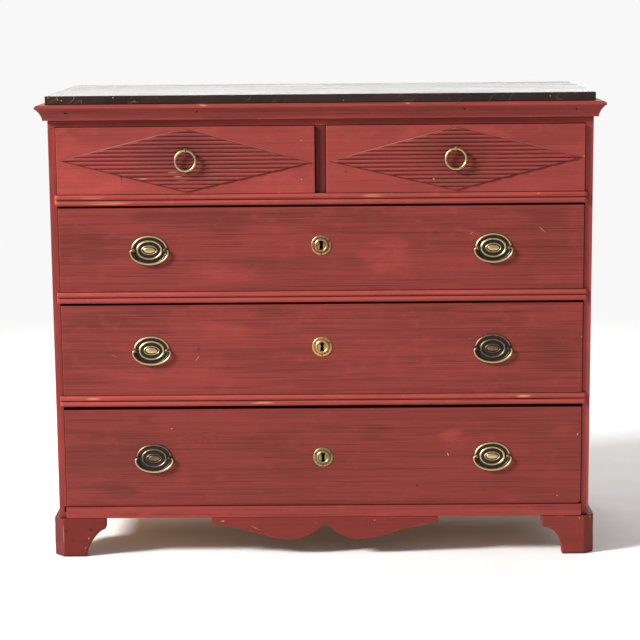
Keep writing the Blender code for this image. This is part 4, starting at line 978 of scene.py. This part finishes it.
def round_skin(bm, rings):
    """Faces between each round ring of vertices and the next; a ring may be one vertex repeated."""
    for ring, after in zip(rings, rings[1:]):
        for step in range(len(ring)):
            corners = dict.fromkeys((ring[step], ring[step - 1], after[step - 1], after[step]))
            if len(corners) > 2:
                bm.faces.new(corners)


def turned(profile, segments, place=(0, 0, 0), back=False):
    """A turned shape whose (radius, height) profile stands out from a place towards -Y or, if back, +Y."""
    bm = bmesh.new()
    rings = []
    for radius, height in profile:
        if radius < WELD:
            rings.append([bm.verts.new((0, -height, 0))] * segments)
        else:
            circle = [(radius * math.cos(turn), -height, radius * math.sin(turn)) for turn in turns(segments)]
            rings.append([bm.verts.new(point) for point in circle])
    round_skin(bm, rings)
    if back:
        bmesh.ops.rotate(bm, verts=bm.verts, matrix=Matrix.Rotation(math.pi, 3, "Z"))
    return moved(bm, place)


def cylinder(radius, start, end, segments, place):
    """A cylinder between two heights, as turned has them."""
    return turned([(0, start), (radius, start), (radius, end), (0, end)], segments, place)


def tube(path, radii, sides, closed=False):
    """A round bar along a path in a plane y = constant, with its own radius at each point."""
    bm = bmesh.new()
    rings = []
    count = len(path)
    back = Vector((0, 1, 0))
    for step, (point, radius) in enumerate(zip(path, radii)):
        before = path[step - 1] if closed or step else point
        after = path[(step + 1) % count] if closed or step < count - 1 else point
        along = (Vector(after) - Vector(before)).normalized()
        outward = along.cross(back).normalized()
        offsets = [outward * math.cos(turn) + back * math.sin(turn) for turn in turns(sides)]
        rings.append([bm.verts.new(Vector(point) + offset * radius) for offset in offsets])
    round_skin(bm, rings + rings[:1] if closed else rings)
    if not closed:
        fill_ends(bm, rings)
    return bm


def moved(bm, offset):
    """A bmesh shifted by an offset."""
    bmesh.ops.translate(bm, vec=Vector(offset), verts=bm.verts)
    return bm


def gathered(shapes):
    """Several separate bmeshes as one."""
    result = bmesh.new()
    for shape in shapes:
        mesh = plain_mesh(shape, "gathered")
        result.from_mesh(mesh)
        bpy.data.meshes.remove(mesh)
    return result


def helper_object(bm):
    """An object for the time of building, with its faces turned out."""
    bmesh.ops.recalc_face_normals(bm, faces=bm.faces)
    return new_object("shape", plain_mesh(bm, "shape"))


def evaluated(bm, modify):
    """A bmesh after the modifiers that modify adds to it; modify returns the objects they use."""
    shape = helper_object(bm)
    helpers = modify(shape)
    result = bmesh.new()
    result.from_object(shape, bpy.context.evaluated_depsgraph_get())
    for obj in [shape, *helpers]:
        bpy.data.objects.remove(obj)
    return result


def boolean(bm, *steps):
    """A bmesh after Boolean steps, each a (shape, operation) pair."""
    def modify(shape):
        helpers = []
        for tool, operation in steps:
            step = shape.modifiers.new("step", "BOOLEAN")
            step.operation = operation
            step.object = helper_object(tool)
            helpers.append(step.object)
        return helpers
    return evaluated(bm, modify)


def arc(centre, radii, start, end, steps):
    """Points of an elliptical arc, both ends included."""
    points = []
    for step in range(steps + 1):
        turn = start + (end - start) * step / steps
        points.append((centre[0] + radii[0] * math.cos(turn), centre[1] + radii[1] * math.sin(turn)))
    return points


def wave(x, y=0.0, z=0.0):
    """Smooth noise between about -1 and 1."""
    return noise.noise(Vector((x, y, z)))


def stations(low, high, spacing):
    """Evenly spaced places from low to high."""
    count = max(1, round((high - low) / spacing))
    return [low + (high - low) * step / count for step in range(count + 1)]


def build_case_boards():
    """Side boards, frieze, partition, base strip and top board."""
    for hand, label in HANDS:
        side = round_edges(cad_shape("side_" + label), BOARD_ROUND, on_side_board(hand))
        if label == "left":
            strip_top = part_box("bottom_board")[1].z
            slot = box_shape((-INNER_X - SLOT_WIDTH, FRONT_Y - CUT_MARGIN, strip_top - SLOT_DROP),
                             (-INNER_X + CUT_MARGIN, FRONT_Y + SLOT_DEPTH, strip_top))
            side = boolean(side, (slot, "DIFFERENCE"))
        stand_for("side_" + label, side, STILE_PAINTS[label])
    for node, material, radius in (("frieze_rail", FRIEZE_LIT_PAINT, BOARD_ROUND),
                                   ("drawer_partition", PARTITION_SHADED_PAINT, BOARD_ROUND),
                                   ("bottom_board", CASE_PAINT, FRONT_ROUND)):
        rounded_board(node, material, radius, at_front(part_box(node)[0].y))
    rounded_board("marbled_top", MARBLED, TOP_ROUND)


def cornice_profile(height):
    """Cornice section as (projection, height), from the back of its foot round to the back of its top."""
    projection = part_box("cornice_right")[1].x - HALF_WIDTH
    lip_x = projection - CORNICE_LIP
    rise = CORNICE_NOSE_RISE - CORNICE_LIP - CORNICE_FILLET
    profile = [(FIT_GAP, 0), (CORNICE_FOOT - CORNICE_ARRIS, 0), (CORNICE_FOOT, CORNICE_ARRIS)]
    run = Vector((lip_x - CORNICE_FOOT, rise))
    inward = Vector((-run.y, run.x)).normalized() * CORNICE_HOLLOW
    for step in range(MOULDING_STEPS + 1):
        share = step / MOULDING_STEPS
        point = Vector((CORNICE_FOOT, CORNICE_FILLET)) + run * share + inward * 4 * share * (1 - share)
        profile.append(tuple(point))
    profile += arc((lip_x, CORNICE_NOSE_RISE), (CORNICE_LIP, CORNICE_LIP), -QUARTER_TURN, 0, LIP_STEPS)[1:]
    profile += arc((projection - CORNICE_NOSE_DEPTH, CORNICE_NOSE_RISE),
                   (CORNICE_NOSE_DEPTH, height - CORNICE_NOSE_RISE), 0, QUARTER_TURN, MOULDING_STEPS)[1:]
    return [*profile, (FIT_GAP, height)]


def planed(out, along, label, from_mitre):
    """A cornice projection with its hand-planed unevenness, which spares the back."""
    if out <= FIT_GAP * 2:
        return out
    fade = min(1, from_mitre / MITRE_FADE)
    return out + CORNICE_WOBBLE * wave(along * CORNICE_WAVES, CORNICE_SEEDS[label]) * fade


def build_cornice():
    """Front and side lengths of cornice, mitred, with old nail holes in front."""
    low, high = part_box("cornice_front")
    profile = cornice_profile(high.z - low.z)
    depth = BACK_Y - FRONT_Y

    def front_point(share, out, z):
        worn = planed(out, share * HALF_WIDTH, "front", (1 - abs(share)) * HALF_WIDTH)
        return (share * (HALF_WIDTH + out - FIT_GAP), FRONT_Y - worn, low.z + z)

    def side_point(hand, label, share, out, z):
        front_y = FRONT_Y - out + FIT_GAP
        y = front_y + (BACK_Y - front_y) * share
        return (hand * (HALF_WIDTH + planed(out, y, label, share * depth)), y, low.z + z)

    shares = stations(-1, 1, CORNICE_STATION / HALF_WIDTH)
    front = loft([[front_point(share, *point) for point in profile] for share in shares])
    places = [(x, FRONT_Y - CORNICE_FOOT, low.z + z) for x, z in NAIL_HOLES]
    holes = [cylinder(NAIL_HOLE_RADIUS, 0, NAIL_HOLE_LENGTH, NAIL_SIDES, place) for place in places]
    front = boolean(front, (gathered(holes), "DIFFERENCE"))
    stand_for("cornice_front", front, TRIM_PAINT)
    shares = stations(0, 1, CORNICE_STATION / depth)
    for hand, label in HANDS:
        side = loft([[side_point(hand, label, share, *point) for point in profile] for share in shares])
        stand_for("cornice_" + label, side, SIDE_TRIM_PAINT)


def build_rail(node, seed, end_depth, end_height, taper):
    """Rail with a double bead on its front, worn along the crests and shaped at the ends."""
    low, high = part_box(node)
    face_y = FRONT_Y - RAIL_PROJECTION
    bead_half = (high.z - low.z) / 4
    beads = (low.z + bead_half, high.z - bead_half)
    nose = []
    for bead_z in beads:
        points = arc((face_y, bead_z), (BEAD_DEPTH, bead_half), -QUARTER_TURN, -math.pi - QUARTER_TURN,
                     MOULDING_STEPS)
        nose += [(y, z, bead_z) for y, z in points[:-1]]
    nose.append((face_y, high.z, beads[1]))
    reach = high.x
    ends = [reach - taper * (1 - math.cos(QUARTER_TURN * step / TAPER_STEPS)) for step in range(TAPER_STEPS)]
    inner = stations(-(reach - taper), reach - taper, RAIL_STATION)
    sections = []
    for x in [-end for end in ends] + inner + ends[::-1]:
        share = min(1, (reach - abs(x)) / taper)
        fullness = math.sqrt(1 - (1 - share) ** 2)
        section = [(x, high.y, low.z), (x, FRONT_Y, low.z)]
        for y, z, bead_z in nose:
            crest = max(0, (face_y - y) / BEAD_DEPTH)
            worn = RAIL_WEAR * crest * (RAIL_WEAR_MEAN + wave(x * RAIL_WAVES, seed, bead_z * BEAD_WAVES))
            depth = (y + worn - FRONT_Y) * (end_depth + (1 - end_depth) * fullness)
            tall = (z - bead_z) * (end_height + (1 - end_height) * fullness)
            section.append((x, FRONT_Y + depth, bead_z + tall))
        section += [(x, FRONT_Y, high.z), (x, high.y, high.z)]
        sections.append(section)
    stand_for(node, loft(sections), RAIL_PAINT)


def bracket_edge(reach, height, fullness):
    """Inner edge of a bracket foot from floor to top."""
    cove_top = height - FOOT_LIP - FOOT_LIP_ROUND
    lip_x = reach - FOOT_LIP_ROUND
    cove = arc((lip_x, 0), (lip_x - FOOT_BASE_WIDTH, cove_top), math.pi, QUARTER_TURN, FOOT_STEPS)
    points = []
    for step, (u, v) in enumerate(cove):
        share = step / FOOT_STEPS
        chord = (FOOT_BASE_WIDTH + (lip_x - FOOT_BASE_WIDTH) * share, cove_top * share)
        points.append((u + (chord[0] - u) * fullness, v + (chord[1] - v) * fullness))
    lip_z = cove_top + FOOT_LIP_ROUND
    lip = arc((lip_x, lip_z), (FOOT_LIP_ROUND, FOOT_LIP_ROUND), -QUARTER_TURN, 0, LIP_STEPS)
    return points + lip[1:]


def remesh(shape):
    """Add a modifier that makes an even skin, for the dents; it needs no other object."""
    step = shape.modifiers.new("voxels", "REMESH")
    step.mode = "VOXEL"
    step.voxel_size = FOOT_VOXEL
    return []


def build_foot(hand, label):
    """Front bracket foot: shaped arms, canted corner, rounded arrises and dents."""
    node = "foot_front_" + label
    low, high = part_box(node)
    outer_x = high.x if hand > 0 else -low.x
    reach = high.x - low.x
    height = high.z
    plan = [(FOOT_CANT, 0), (reach, 0), (reach, FOOT_THICKNESS), (FOOT_BLOCK, FOOT_THICKNESS),
            (FOOT_BLOCK, FOOT_BLOCK), (FOOT_THICKNESS, FOOT_BLOCK), (FOOT_THICKNESS, reach),
            (0, reach), (0, FOOT_CANT)]
    under = [(FOOT_BASE_WIDTH, -CUT_MARGIN), *bracket_edge(reach, height, FOOT_FULLNESS[label]),
             (reach + CUT_MARGIN, height - FOOT_LIP), (reach + CUT_MARGIN, -CUT_MARGIN)]
    through = FOOT_THICKNESS + CUT_MARGIN * 2

    def from_above(u, v, end):
        return (hand * (outer_x - u), low.y + v, height * end)

    def across_front(u, v, end):
        return (hand * (outer_x - u), low.y - CUT_MARGIN + through * end, v)

    def across_side(u, v, end):
        return (hand * (outer_x + CUT_MARGIN - through * end), low.y + u, v)

    cuts = [(prism(under, across), "DIFFERENCE") for across in (across_front, across_side)]
    foot = evaluated(boolean(prism(plan, from_above), *cuts), remesh)
    for _ in range(FOOT_SMOOTHING):
        bmesh.ops.smooth_vert(foot, verts=foot.verts, factor=0.5, use_axis_x=True, use_axis_y=True,
                              use_axis_z=True)
    foot.normal_update()
    for vertex in foot.verts:
        place = vertex.co
        dent = wave(*(place * DENT_WAVES)) + FINE_DENT_SHARE * wave(*(place * FINE_DENT_WAVES))
        vertex.co = place + vertex.normal * FOOT_DENT * (dent - DENT_BIAS)
        vertex.co.z = min(max(vertex.co.z, 0), height)
    stand_for(node, foot, FOOT_PAINTS[label], False)


def build_apron():
    """Scalloped apron: two lobes meeting in a cusp."""
    low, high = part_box("apron")
    half = half_size("apron").x
    lobe_drop = high.z - low.z

    def drop(x):
        away = abs(x)
        if away > APRON_LOBE_X:
            share = (half - away) / (half - APRON_LOBE_X)
            return APRON_END_DROP + (lobe_drop - APRON_END_DROP) * (1 - math.cos(math.pi * share)) / 2
        share = 1 - away / APRON_LOBE_X
        return APRON_CUSP_DROP + (lobe_drop - APRON_CUSP_DROP) * (1 - share * share)

    xs = stations(-half, 0, half / APRON_STEPS)
    xs += [-x for x in reversed(xs[:-1])]
    outline = [(middle("apron").x + x, high.z - drop(x)) for x in xs]
    outline += [(high.x, high.z), (low.x, high.z)]
    apron = prism(outline, lambda u, v, end: (u, low.y + (high.y - low.y) * end, v))
    bmesh.ops.recalc_face_normals(apron, faces=apron.faces)
    round_edges(apron, BOARD_ROUND, at_front(low.y))
    stand_for("apron", apron, APRON_PAINT)


def grooved_panel(node, joint_axis, joints, groove_side):
    """A panel of boards glued edge to edge, with fine open joints in both its faces, at most a third deep."""
    low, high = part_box(node)
    near, far = low[groove_side], high[groove_side]
    depth = min(JOINT_DEPTH, (far - near) / 3)
    tools = []
    for share in joints:
        at = low[joint_axis] + (high[joint_axis] - low[joint_axis]) * share
        for start, end in ((near - CUT_MARGIN, near + depth), (far - depth, far + CUT_MARGIN)):
            tool_low = [value - CUT_MARGIN for value in low]
            tool_high = [value + CUT_MARGIN for value in high]
            tool_low[joint_axis] = at - JOINT_WIDTH / 2
            tool_high[joint_axis] = at + JOINT_WIDTH / 2
            tool_low[groove_side] = start
            tool_high[groove_side] = end
            tools.append(box_shape(tool_low, tool_high))
    panel = round_edges(cad_shape(node), PANEL_ROUND, on_box_edges(low, high))
    panel = boolean(panel, (gathered(tools), "DIFFERENCE"))
    stand_for(node, panel, PINE_ACROSS)


def build_back():
    """Back panel of wide boards, and the hand-made nails that hold it, as one piece."""
    grooved_panel("back_panel", Z_AXIS, BACK_JOINTS, Y_AXIS)
    low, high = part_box("back_panel")
    places = []
    for z in SIDE_NAIL_HEIGHTS:
        for hand, _ in HANDS:
            inset = SIDE_NAIL_INSET + SIDE_NAIL_STRAY * wave(z * SIDE_NAIL_WAVES, hand)
            places.append((hand * (high.x - inset), high.y, low.z + z))
    for x in stations(-TOP_NAIL_REACH, TOP_NAIL_REACH, TOP_NAIL_SPACING):
        places.append((x, high.y, high.z - TOP_NAIL_INSET))
    nails = gathered([turned(NAIL_HEAD, NAIL_SIDES, place, True) for place in places])
    add_piece("back_panel_nails", smooth_mesh(nails, "back_panel_nails"), IRON, body_of("back_panel"))


def build_drawer_boxes():
    """Sides, backs and bottoms of the drawers."""
    for drawer in (*SMALL_DRAWERS, *LONG_DRAWERS):
        for _, label in HANDS:
            rounded_board(drawer + "_side_" + label, PINE_BACK, PANEL_ROUND)
        rounded_board(drawer + "_back", PINE_ACROSS, PANEL_ROUND)
        joints = LONG_BOTTOM_JOINTS if drawer in LONG_DRAWERS else SMALL_BOTTOM_JOINTS
        grooved_panel(drawer + "_bottom", Y_AXIS, joints, Z_AXIS)


def build_long_fronts():
    """Fronts of the long drawers, with their front edges worn round and a corner chipped off the lowest."""
    for drawer in LONG_DRAWERS:
        node = drawer + "_front"
        low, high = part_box(node)
        key = middle(drawer + "_escutcheon")
        start, through = low.y - CUT_MARGIN, high.y - low.y + CUT_MARGIN * 2
        keyway = prism(keyhole(KEYWAY_GAP), lambda u, v, end: (key.x + u, start + through * end, key.z + v))
        front = round_edges(cad_shape(node), FRONT_ROUND, on_box_edges(low, high))
        front = boolean(front, (keyway, "DIFFERENCE"))
        if drawer == "drawer_lower":
            chip = box_shape((high.x - CHIP_SIZE, low.y - CUT_MARGIN, low.z - CUT_MARGIN),
                             (high.x + CUT_MARGIN, low.y + CHIP_SIZE * 2, low.z + CHIP_SIZE))
            front = boolean(front, (chip, "DIFFERENCE"))
        stand_for(node, front, LONG_PAINTS[drawer])


def reeds(drawer, crest_y, root_y):
    """Rows of reeds over the whole height and width of a lozenge, uneven in depth and place."""
    centre = middle(drawer + "_front")
    half, tall = lozenge_size(drawer)
    pitch = tall * 2 / REED_COUNT
    seed = REED_SEEDS[drawer]
    edge_z = tall + CUT_MARGIN
    sections = []
    for x in stations(-half - CUT_MARGIN, half + CUT_MARGIN, half * 2 / REED_STATIONS):
        outline = [(root_y, -edge_z), (crest_y + REED_DEPTH, -edge_z)]
        for step in range(REED_COUNT * REED_STEPS + 1):
            turn = (step % REED_STEPS) / REED_STEPS * FULL_TURN
            row = step / REED_STEPS
            wear = REED_WEAR * (1 + wave(x * REED_WEAR_WAVES[0], row * REED_WEAR_WAVES[1], seed)) / 2
            depth = REED_DEPTH * (1 - wear) * (1 + math.cos(turn)) / 2
            shift = wave(x * REED_WOBBLE_WAVES[0], row * REED_WOBBLE_WAVES[1], seed + REED_WOBBLE_SEED)
            outline.append((crest_y + depth, pitch * row - tall + REED_WOBBLE * shift))
        outline += [(crest_y + REED_DEPTH, edge_z), (root_y, edge_z)]
        sections.append([(centre.x + x, y, centre.z + z) for y, z in outline])
    return loft(sections)


def build_small_front(drawer):
    """Front of a small drawer with its raised lozenge of reeds and a bore for the eye bolt."""
    node = drawer + "_front"
    low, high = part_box(node)
    centre = middle(node)
    field_y = low.y + LOZENGE_RAISE
    root_y = field_y + LOZENGE_ROOT
    plane = box_shape((low.x - CUT_MARGIN, low.y - CUT_MARGIN, low.z - CUT_MARGIN),
                      (high.x + CUT_MARGIN, field_y, high.z + CUT_MARGIN))
    front = boolean(cad_shape(node), (plane, "DIFFERENCE"))
    bmesh.ops.dissolve_limit(front, angle_limit=FLAT_ANGLE, verts=front.verts, edges=front.edges)
    round_edges(front, FRONT_ROUND, on_box_edges((low.x, field_y, low.z), high))

    half, tall = lozenge_size(drawer)
    inner = half * tall / math.hypot(half, tall)
    chamfered = []
    for y in (low.y - CUT_MARGIN, root_y + CUT_MARGIN):
        scale = 1 - LOZENGE_CHAMFER * (field_y - y) / LOZENGE_RAISE / inner
        chamfered.append([(centre.x + (x - centre.x) * scale, y, centre.z + (z - centre.z) * scale)
                          for x, z in LOZENGES[drawer]])
    carving = boolean(reeds(drawer, low.y, root_y), (loft(chamfered), "INTERSECT"))
    eye = (centre.x, low.y, middle(drawer + "_ring_eye").z)
    bore = cylinder(EYE_BORE_RADIUS, CUT_MARGIN, -EYE_BORE_DEPTH, RING_SIDES, eye)
    front = boolean(front, (carving, "UNION"), (bore, "DIFFERENCE"))
    stand_for(node, front, SMALL_PAINT)


def ridge(start, end, base, height, steps):
    """A rounded ridge between two radii, as (radius, height) points after its start."""
    points = []
    for step in range(1, steps + 1):
        share = step / steps
        points.append((start + (end - start) * share, base + height * math.sin(math.pi * share)))
    return points


def plate_profile(radius):
    """Oval plate from its edge to its middle: rim, moat, ring, moat and a boss with a grooved core."""
    profile = [(0, FIT_GAP), (radius, FIT_GAP), (radius, PLATE_FLOOR)]
    profile += ridge(radius, radius - PLATE_RIM_WIDTH, PLATE_FLOOR, PLATE_RIM_RISE, PLATE_RIM_STEPS)
    core = arc((0, CORE_FOOT), (CORE_RADIUS, CORE_RISE), 0, QUARTER_TURN, CORE_STEPS)
    return [*profile, *OUTER_MOAT, *ridge(*OUTER_RIDGE), *INNER_MOAT, *ridge(*INNER_RIDGE), *CORE_GROOVE,
            *core]


def oval_share(share):
    """Height to width of the plate's rings at a share of its radius."""
    for (near, first), (far, second) in zip(OVAL_SHARES, OVAL_SHARES[1:]):
        if share <= far:
            return first + (second - first) * (share - near) / (far - near)
    return OVAL_SHARES[-1][1]


def plate_shape(radius):
    """Oval plate with its two bored posts, bolts and nuts; y = 0 is the drawer face."""
    plate = turned(plate_profile(radius), PLATE_SEGMENTS)
    for vertex in plate.verts:
        away = math.hypot(vertex.co.x, vertex.co.z) / radius
        vertex.co.z *= oval_share(min(1, away))
    ball = arc((0, PIVOT_OUT), (POST_RADIUS, POST_RADIUS), QUARTER_TURN, QUARTER_TURN - POST_BALL_TURN,
               POST_BALL_STEPS)
    steps = []
    for hand, _ in HANDS:
        for profile, sides in (([*ball, *POST_FOOT], POST_SIDES), (BOLT, PIN_SIDES)):
            steps.append((turned(profile, sides, (hand * POST_HALF_SPACING, 0, 0)), "UNION"))
    for hand, _ in HANDS:
        ends = [(hand * POST_HALF_SPACING + end, -PIVOT_OUT, 0) for end in (-BORE_HALF, BORE_HALF)]
        steps.append((tube(ends, [BORE_RADIUS] * 2, BORE_SIDES), "DIFFERENCE"))
    return boolean(plate, *steps)


def mark_patina_and_shade(bm, rule):
    """Store how brown each point of a brass piece is, from patina and, on the plates, painted shadow of the
    bail; without this it is bright.
    """
    layer = bm.verts.layers.float.new("patina")
    for vertex in bm.verts:
        vertex[layer] = rule(vertex.co)
    return bm


def plate_patina_and_bail_shadow(place):
    """Hollows of a plate are brown, ridges are bright, and so is the rim where no bail lies over it; under
    the bail the rim is darkened as painted shadow.
    """
    height = -place.y
    on_post = abs(place.x) > POST_HALF_SPACING - POST_RADIUS and abs(place.z) < POST_RADIUS
    if height < 0 or on_post:
        return POST_PATINA
    hollow = 1 - min(1, max(0, (height - BRIGHT_HEIGHT) / BRIGHT_RISE))
    # Painted shadow of the bail on the lower part of the rim
    if place.z < -POST_RADIUS and math.hypot(place.x, place.z / OVAL_SHARES[-1][1]) > PLATE_RIM_INNER:
        return max(hollow, RIM_BAIL_SHADOW)
    return hollow


def bail_shape(half_width, drop, wire):
    """Bail, thicker in its bow, with its ends turned in through the posts; hinge axis at the origin."""
    end_x = POST_HALF_SPACING - POST_RADIUS * BAIL_END_SHARE
    corner = arc((half_width - BAIL_CORNER, -BAIL_CORNER), (BAIL_CORNER, BAIL_CORNER), QUARTER_TURN, 0,
                 BAIL_CORNER_STEPS)
    bow = arc((0, -BAIL_CORNER), (half_width, drop - BAIL_CORNER), 0, -math.pi, BAIL_STEPS)
    right = [(end_x, 0), (half_width - BAIL_CORNER * BAIL_SHOULDER, 0), *corner]
    path = [*right, *bow[1:-1], *[(-x, z) for x, z in reversed(right)]]
    radii = [wire * (BAIL_THIN + BAIL_SWELL * min(1, max(0, -z) / drop)) for _, z in path]
    return tube([(x, 0, z) for x, z in path], radii, BAIL_SIDES)


def keyhole(gap):
    """Keyhole outline seen from the front, widened by a gap: round head above a flared slot."""
    radius = KEYHOLE_RADIUS + gap
    slot = KEYHOLE_SLOT_HALF + gap
    start = -math.acos((KEYHOLE_NECK_HALF + gap) / radius)
    head = arc((0, KEYHOLE_RISE), (radius, radius), start, math.pi - start, KEYHOLE_STEPS)
    return [*head, (-slot, -KEYHOLE_DROP - gap), (slot, -KEYHOLE_DROP - gap)]


def escutcheon_shape(radius):
    """Round escutcheon: thin brim, raised collar, keyhole and three pins; y = 0 is the drawer face."""
    profile = [(0, FIT_GAP), *[(radius - inset, height) for inset, height in BRIM_EDGE]]
    profile += [(BRIM_INNER, BRIM_HEIGHT), *ridge(*COLLAR), *DISH]
    hole = prism(keyhole(0), lambda u, v, end: (u, KEYHOLE_BACK - KEYHOLE_LENGTH * end, v))
    steps = [(hole, "DIFFERENCE")]
    for x, z in PIN_PLACES:
        steps.append((turned(PIN, PIN_SIDES, (x, -BRIM_HEIGHT, z)), "UNION"))
    return boolean(turned(profile, ESCUTCHEON_SIDES), *steps)


def escutcheon_patina(place):
    """Grime round the pins, the collar and the keyhole of an escutcheon."""
    if any(math.hypot(place.x - x, place.z - z) < PIN_GRIME for x, z in PIN_PLACES):
        return 1.0
    away = math.hypot(place.x, place.z)
    collar = max(0, 1 - abs(away - COLLAR_GRIME) / COLLAR_GRIME_WIDTH)
    return collar * COLLAR_PATINA + max(0, 1 - away / COLLAR_INNER) * DISH_PATINA


def fitting(node, mesh, material, place=(0, 0, 0)):
    """A copy of a brass fitting, moved to its place, for a CAD node."""
    copy = mesh.copy()
    copy.transform(Matrix.Translation(place))
    add_piece(node + "_cast", copy, material, body_of(node), (node,))


def build_handles():
    """Plates, bails and escutcheons of the long drawers."""
    plate = plate_shape(half_size("drawer_upper_plate_left").x)
    plate = smooth_mesh(mark_patina_and_shade(plate, plate_patina_and_bail_shadow), "plate")
    size = half_size("drawer_upper_bail_left")
    bail = smooth_mesh(bail_shape(size.x - size.y, (size.z - size.y) * 2, size.y), "bail")
    key = escutcheon_shape(half_size("drawer_upper_escutcheon").x)
    key = smooth_mesh(mark_patina_and_shade(key, escutcheon_patina), "escutcheon")
    for drawer in LONG_DRAWERS:
        face_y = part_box(drawer + "_front")[0].y
        for _, label in HANDS:
            node = drawer + "_plate_" + label
            place = middle(node)
            place.y = face_y
            fitting(node, plate, BRASS_DARK if node in BROWN_PLATES else BRASS, place)
            fitting(drawer + "_bail_" + label, bail, BRASS, place - Vector((0, PIVOT_OUT, 0)))
        place = middle(drawer + "_escutcheon")
        place.y = face_y
        fitting(drawer + "_escutcheon", key, BRASS_KEYS[drawer], place)


def build_rings():
    """Ring pulls of the small drawers and their eye bolts."""
    for drawer in SMALL_DRAWERS:
        node = drawer + "_ring_pull"
        centre, size = middle(node), half_size(node)
        wire = size.y
        radius = size.x - wire
        circle = arc((centre.x, centre.z), (radius, radius), QUARTER_TURN, QUARTER_TURN + FULL_TURN,
                     RING_STEPS)
        path = [(x, centre.y, z) for x, z in circle[:-1]]
        radii = [wire * (RING_SHARE + RING_UNEVEN * wave(step * RING_WAVES[0], centre.x * RING_WAVES[1]))
                 for step in range(RING_STEPS)]
        fitting(node, smooth_mesh(tube(path, radii, RING_SIDES, True), "ring"), BRASS_PALE)
        eye = mark_patina_and_shade(cad_shape(drawer + "_ring_eye"), lambda place: EYE_PATINA)
        stand_for(drawer + "_ring_eye", eye, BRASS_PALE)


def build_locks():
    """Iron locks behind the keyholes of the long drawers."""
    for drawer in LONG_DRAWERS:
        back_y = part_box(drawer + "_front")[1].y + FIT_GAP
        key_z = middle(drawer + "_escutcheon").z

        def slab(half_width, half_height, start, end):
            return box_shape((-half_width, back_y + start, key_z - half_height),
                             (half_width, back_y + end, key_z + half_height))

        case = slab(*LOCK_CASE, LOCK_CASE_START, LOCK_CASE_DEPTH)
        lock = boolean(slab(*LOCK_PLATE, 0, LOCK_PLATE_DEPTH), (case, "UNION"))
        round_edges(lock, LOCK_ROUND, lambda edge: True, LOCK_ROUND_STEPS)
        rivets = []
        for x in (-RIVET_X, RIVET_X):
            for z in (-RIVET_Z, RIVET_Z):
                place = (x, back_y + LOCK_PLATE_DEPTH, key_z + z)
                rivets.append(turned(RIVET, PIN_SIDES, place, True))
        lock = boolean(lock, (gathered(rivets), "UNION"))
        name = drawer + "_lock"
        add_piece(name, smooth_mesh(lock, name), IRON, body_of(drawer + "_front"))


def build_camera():
    """Camera where the photograph was taken from."""
    data = bpy.data.cameras.new("camera")
    data.sensor_width = SENSOR_WIDTH
    data.lens = FOCAL_PIXELS / FRAME_PIXELS * SENSOR_WIDTH
    camera = new_object("camera", data)
    turn = (Matrix.Rotation(CAMERA_YAW, 3, "Z") @ Matrix.Rotation(QUARTER_TURN - CAMERA_PITCH, 3, "X")
            @ Matrix.Rotation(CAMERA_ROLL, 3, "Z"))
    camera.matrix_world = Matrix.Translation(CAMERA_PLACE) @ turn.to_4x4()
    bpy.context.scene.camera = camera


def area_light(name, place, target, size, energy):
    """A soft rectangular white light aimed at a point."""
    data = bpy.data.lights.new(name, "AREA")
    data.shape = "RECTANGLE"
    data.size, data.size_y = size
    data.energy = energy
    light = new_object(name, data)
    light.location = place
    light.rotation_mode = "QUATERNION"
    light.rotation_quaternion = (Vector(target) - Vector(place)).to_track_quat("-Z", "Y")
    light.visible_camera = False


def build_world():
    """Even white surroundings, brighter where the camera sees them."""
    world = bpy.data.worlds.new("studio")
    world.use_nodes = True
    tree = world.node_tree
    background = tree.nodes["Background"]
    path = tree.nodes.new("ShaderNodeLightPath")
    strength = tree.nodes.new("ShaderNodeMapRange")
    strength.inputs["To Min"].default_value = AMBIENT
    strength.inputs["To Max"].default_value = BACKGROUND
    tree.links.new(path.outputs["Is Camera Ray"], strength.inputs["Value"])
    tree.links.new(strength.outputs[0], background.inputs["Strength"])
    background.inputs["Color"].default_value = (1, 1, 1, 1)
    bpy.context.scene.world = world


def build_floor():
    """Pale floor that fades out into the surroundings."""
    bm = bmesh.new()
    bmesh.ops.create_circle(bm, cap_ends=True, segments=FLOOR_SIDES, radius=FLOOR_RADIUS)
    floor = new_object("floor", plain_mesh(bm, "floor"))
    floor.location.z = -FIT_GAP
    look = Look("pale_floor", srgb(238, 237, 235))
    look.lay(srgb(242, 241, 240), look.ramp(look.noise(12, 12, 4, 0.6), 0.3, 0.7))
    look.finish(0.8)
    clear = look.add("ShaderNodeBsdfTransparent").outputs[0]
    away = look.ramp(look.vector("LENGTH", look.place), *FLOOR_FADE)
    fade = look.add("ShaderNodeMixShader", {0: away, 1: look.shader.outputs[0], 2: clear})
    look.feed(look.tree.nodes["Material Output"].inputs["Surface"], fade.outputs[0])
    floor.data.materials.append(look.material)


def build_studio():
    """Surroundings, a soft key light from the upper left, a wide one far behind and the floor."""
    bpy.context.scene.view_settings.view_transform = "Standard"
    build_world()
    area_light("key", KEY_AIM + KEY_DIRECTION * KEY_DISTANCE, KEY_AIM, KEY_SIZE, KEY_ENERGY)
    area_light("far_wall", WALL_PLACE, WALL_AIM, WALL_SIZE, WALL_ENERGY)
    build_floor()


build_camera()
build_studio()
build_case_boards()
build_cornice()
for rail, shape in RAILS.items():
    build_rail(rail, *shape)
for hand, label in HANDS:
    build_foot(hand, label)
build_apron()
build_back()
build_drawer_boxes()
build_long_fronts()
for drawer in SMALL_DRAWERS:
    build_small_front(drawer)
build_handles()
build_rings()
build_locks()
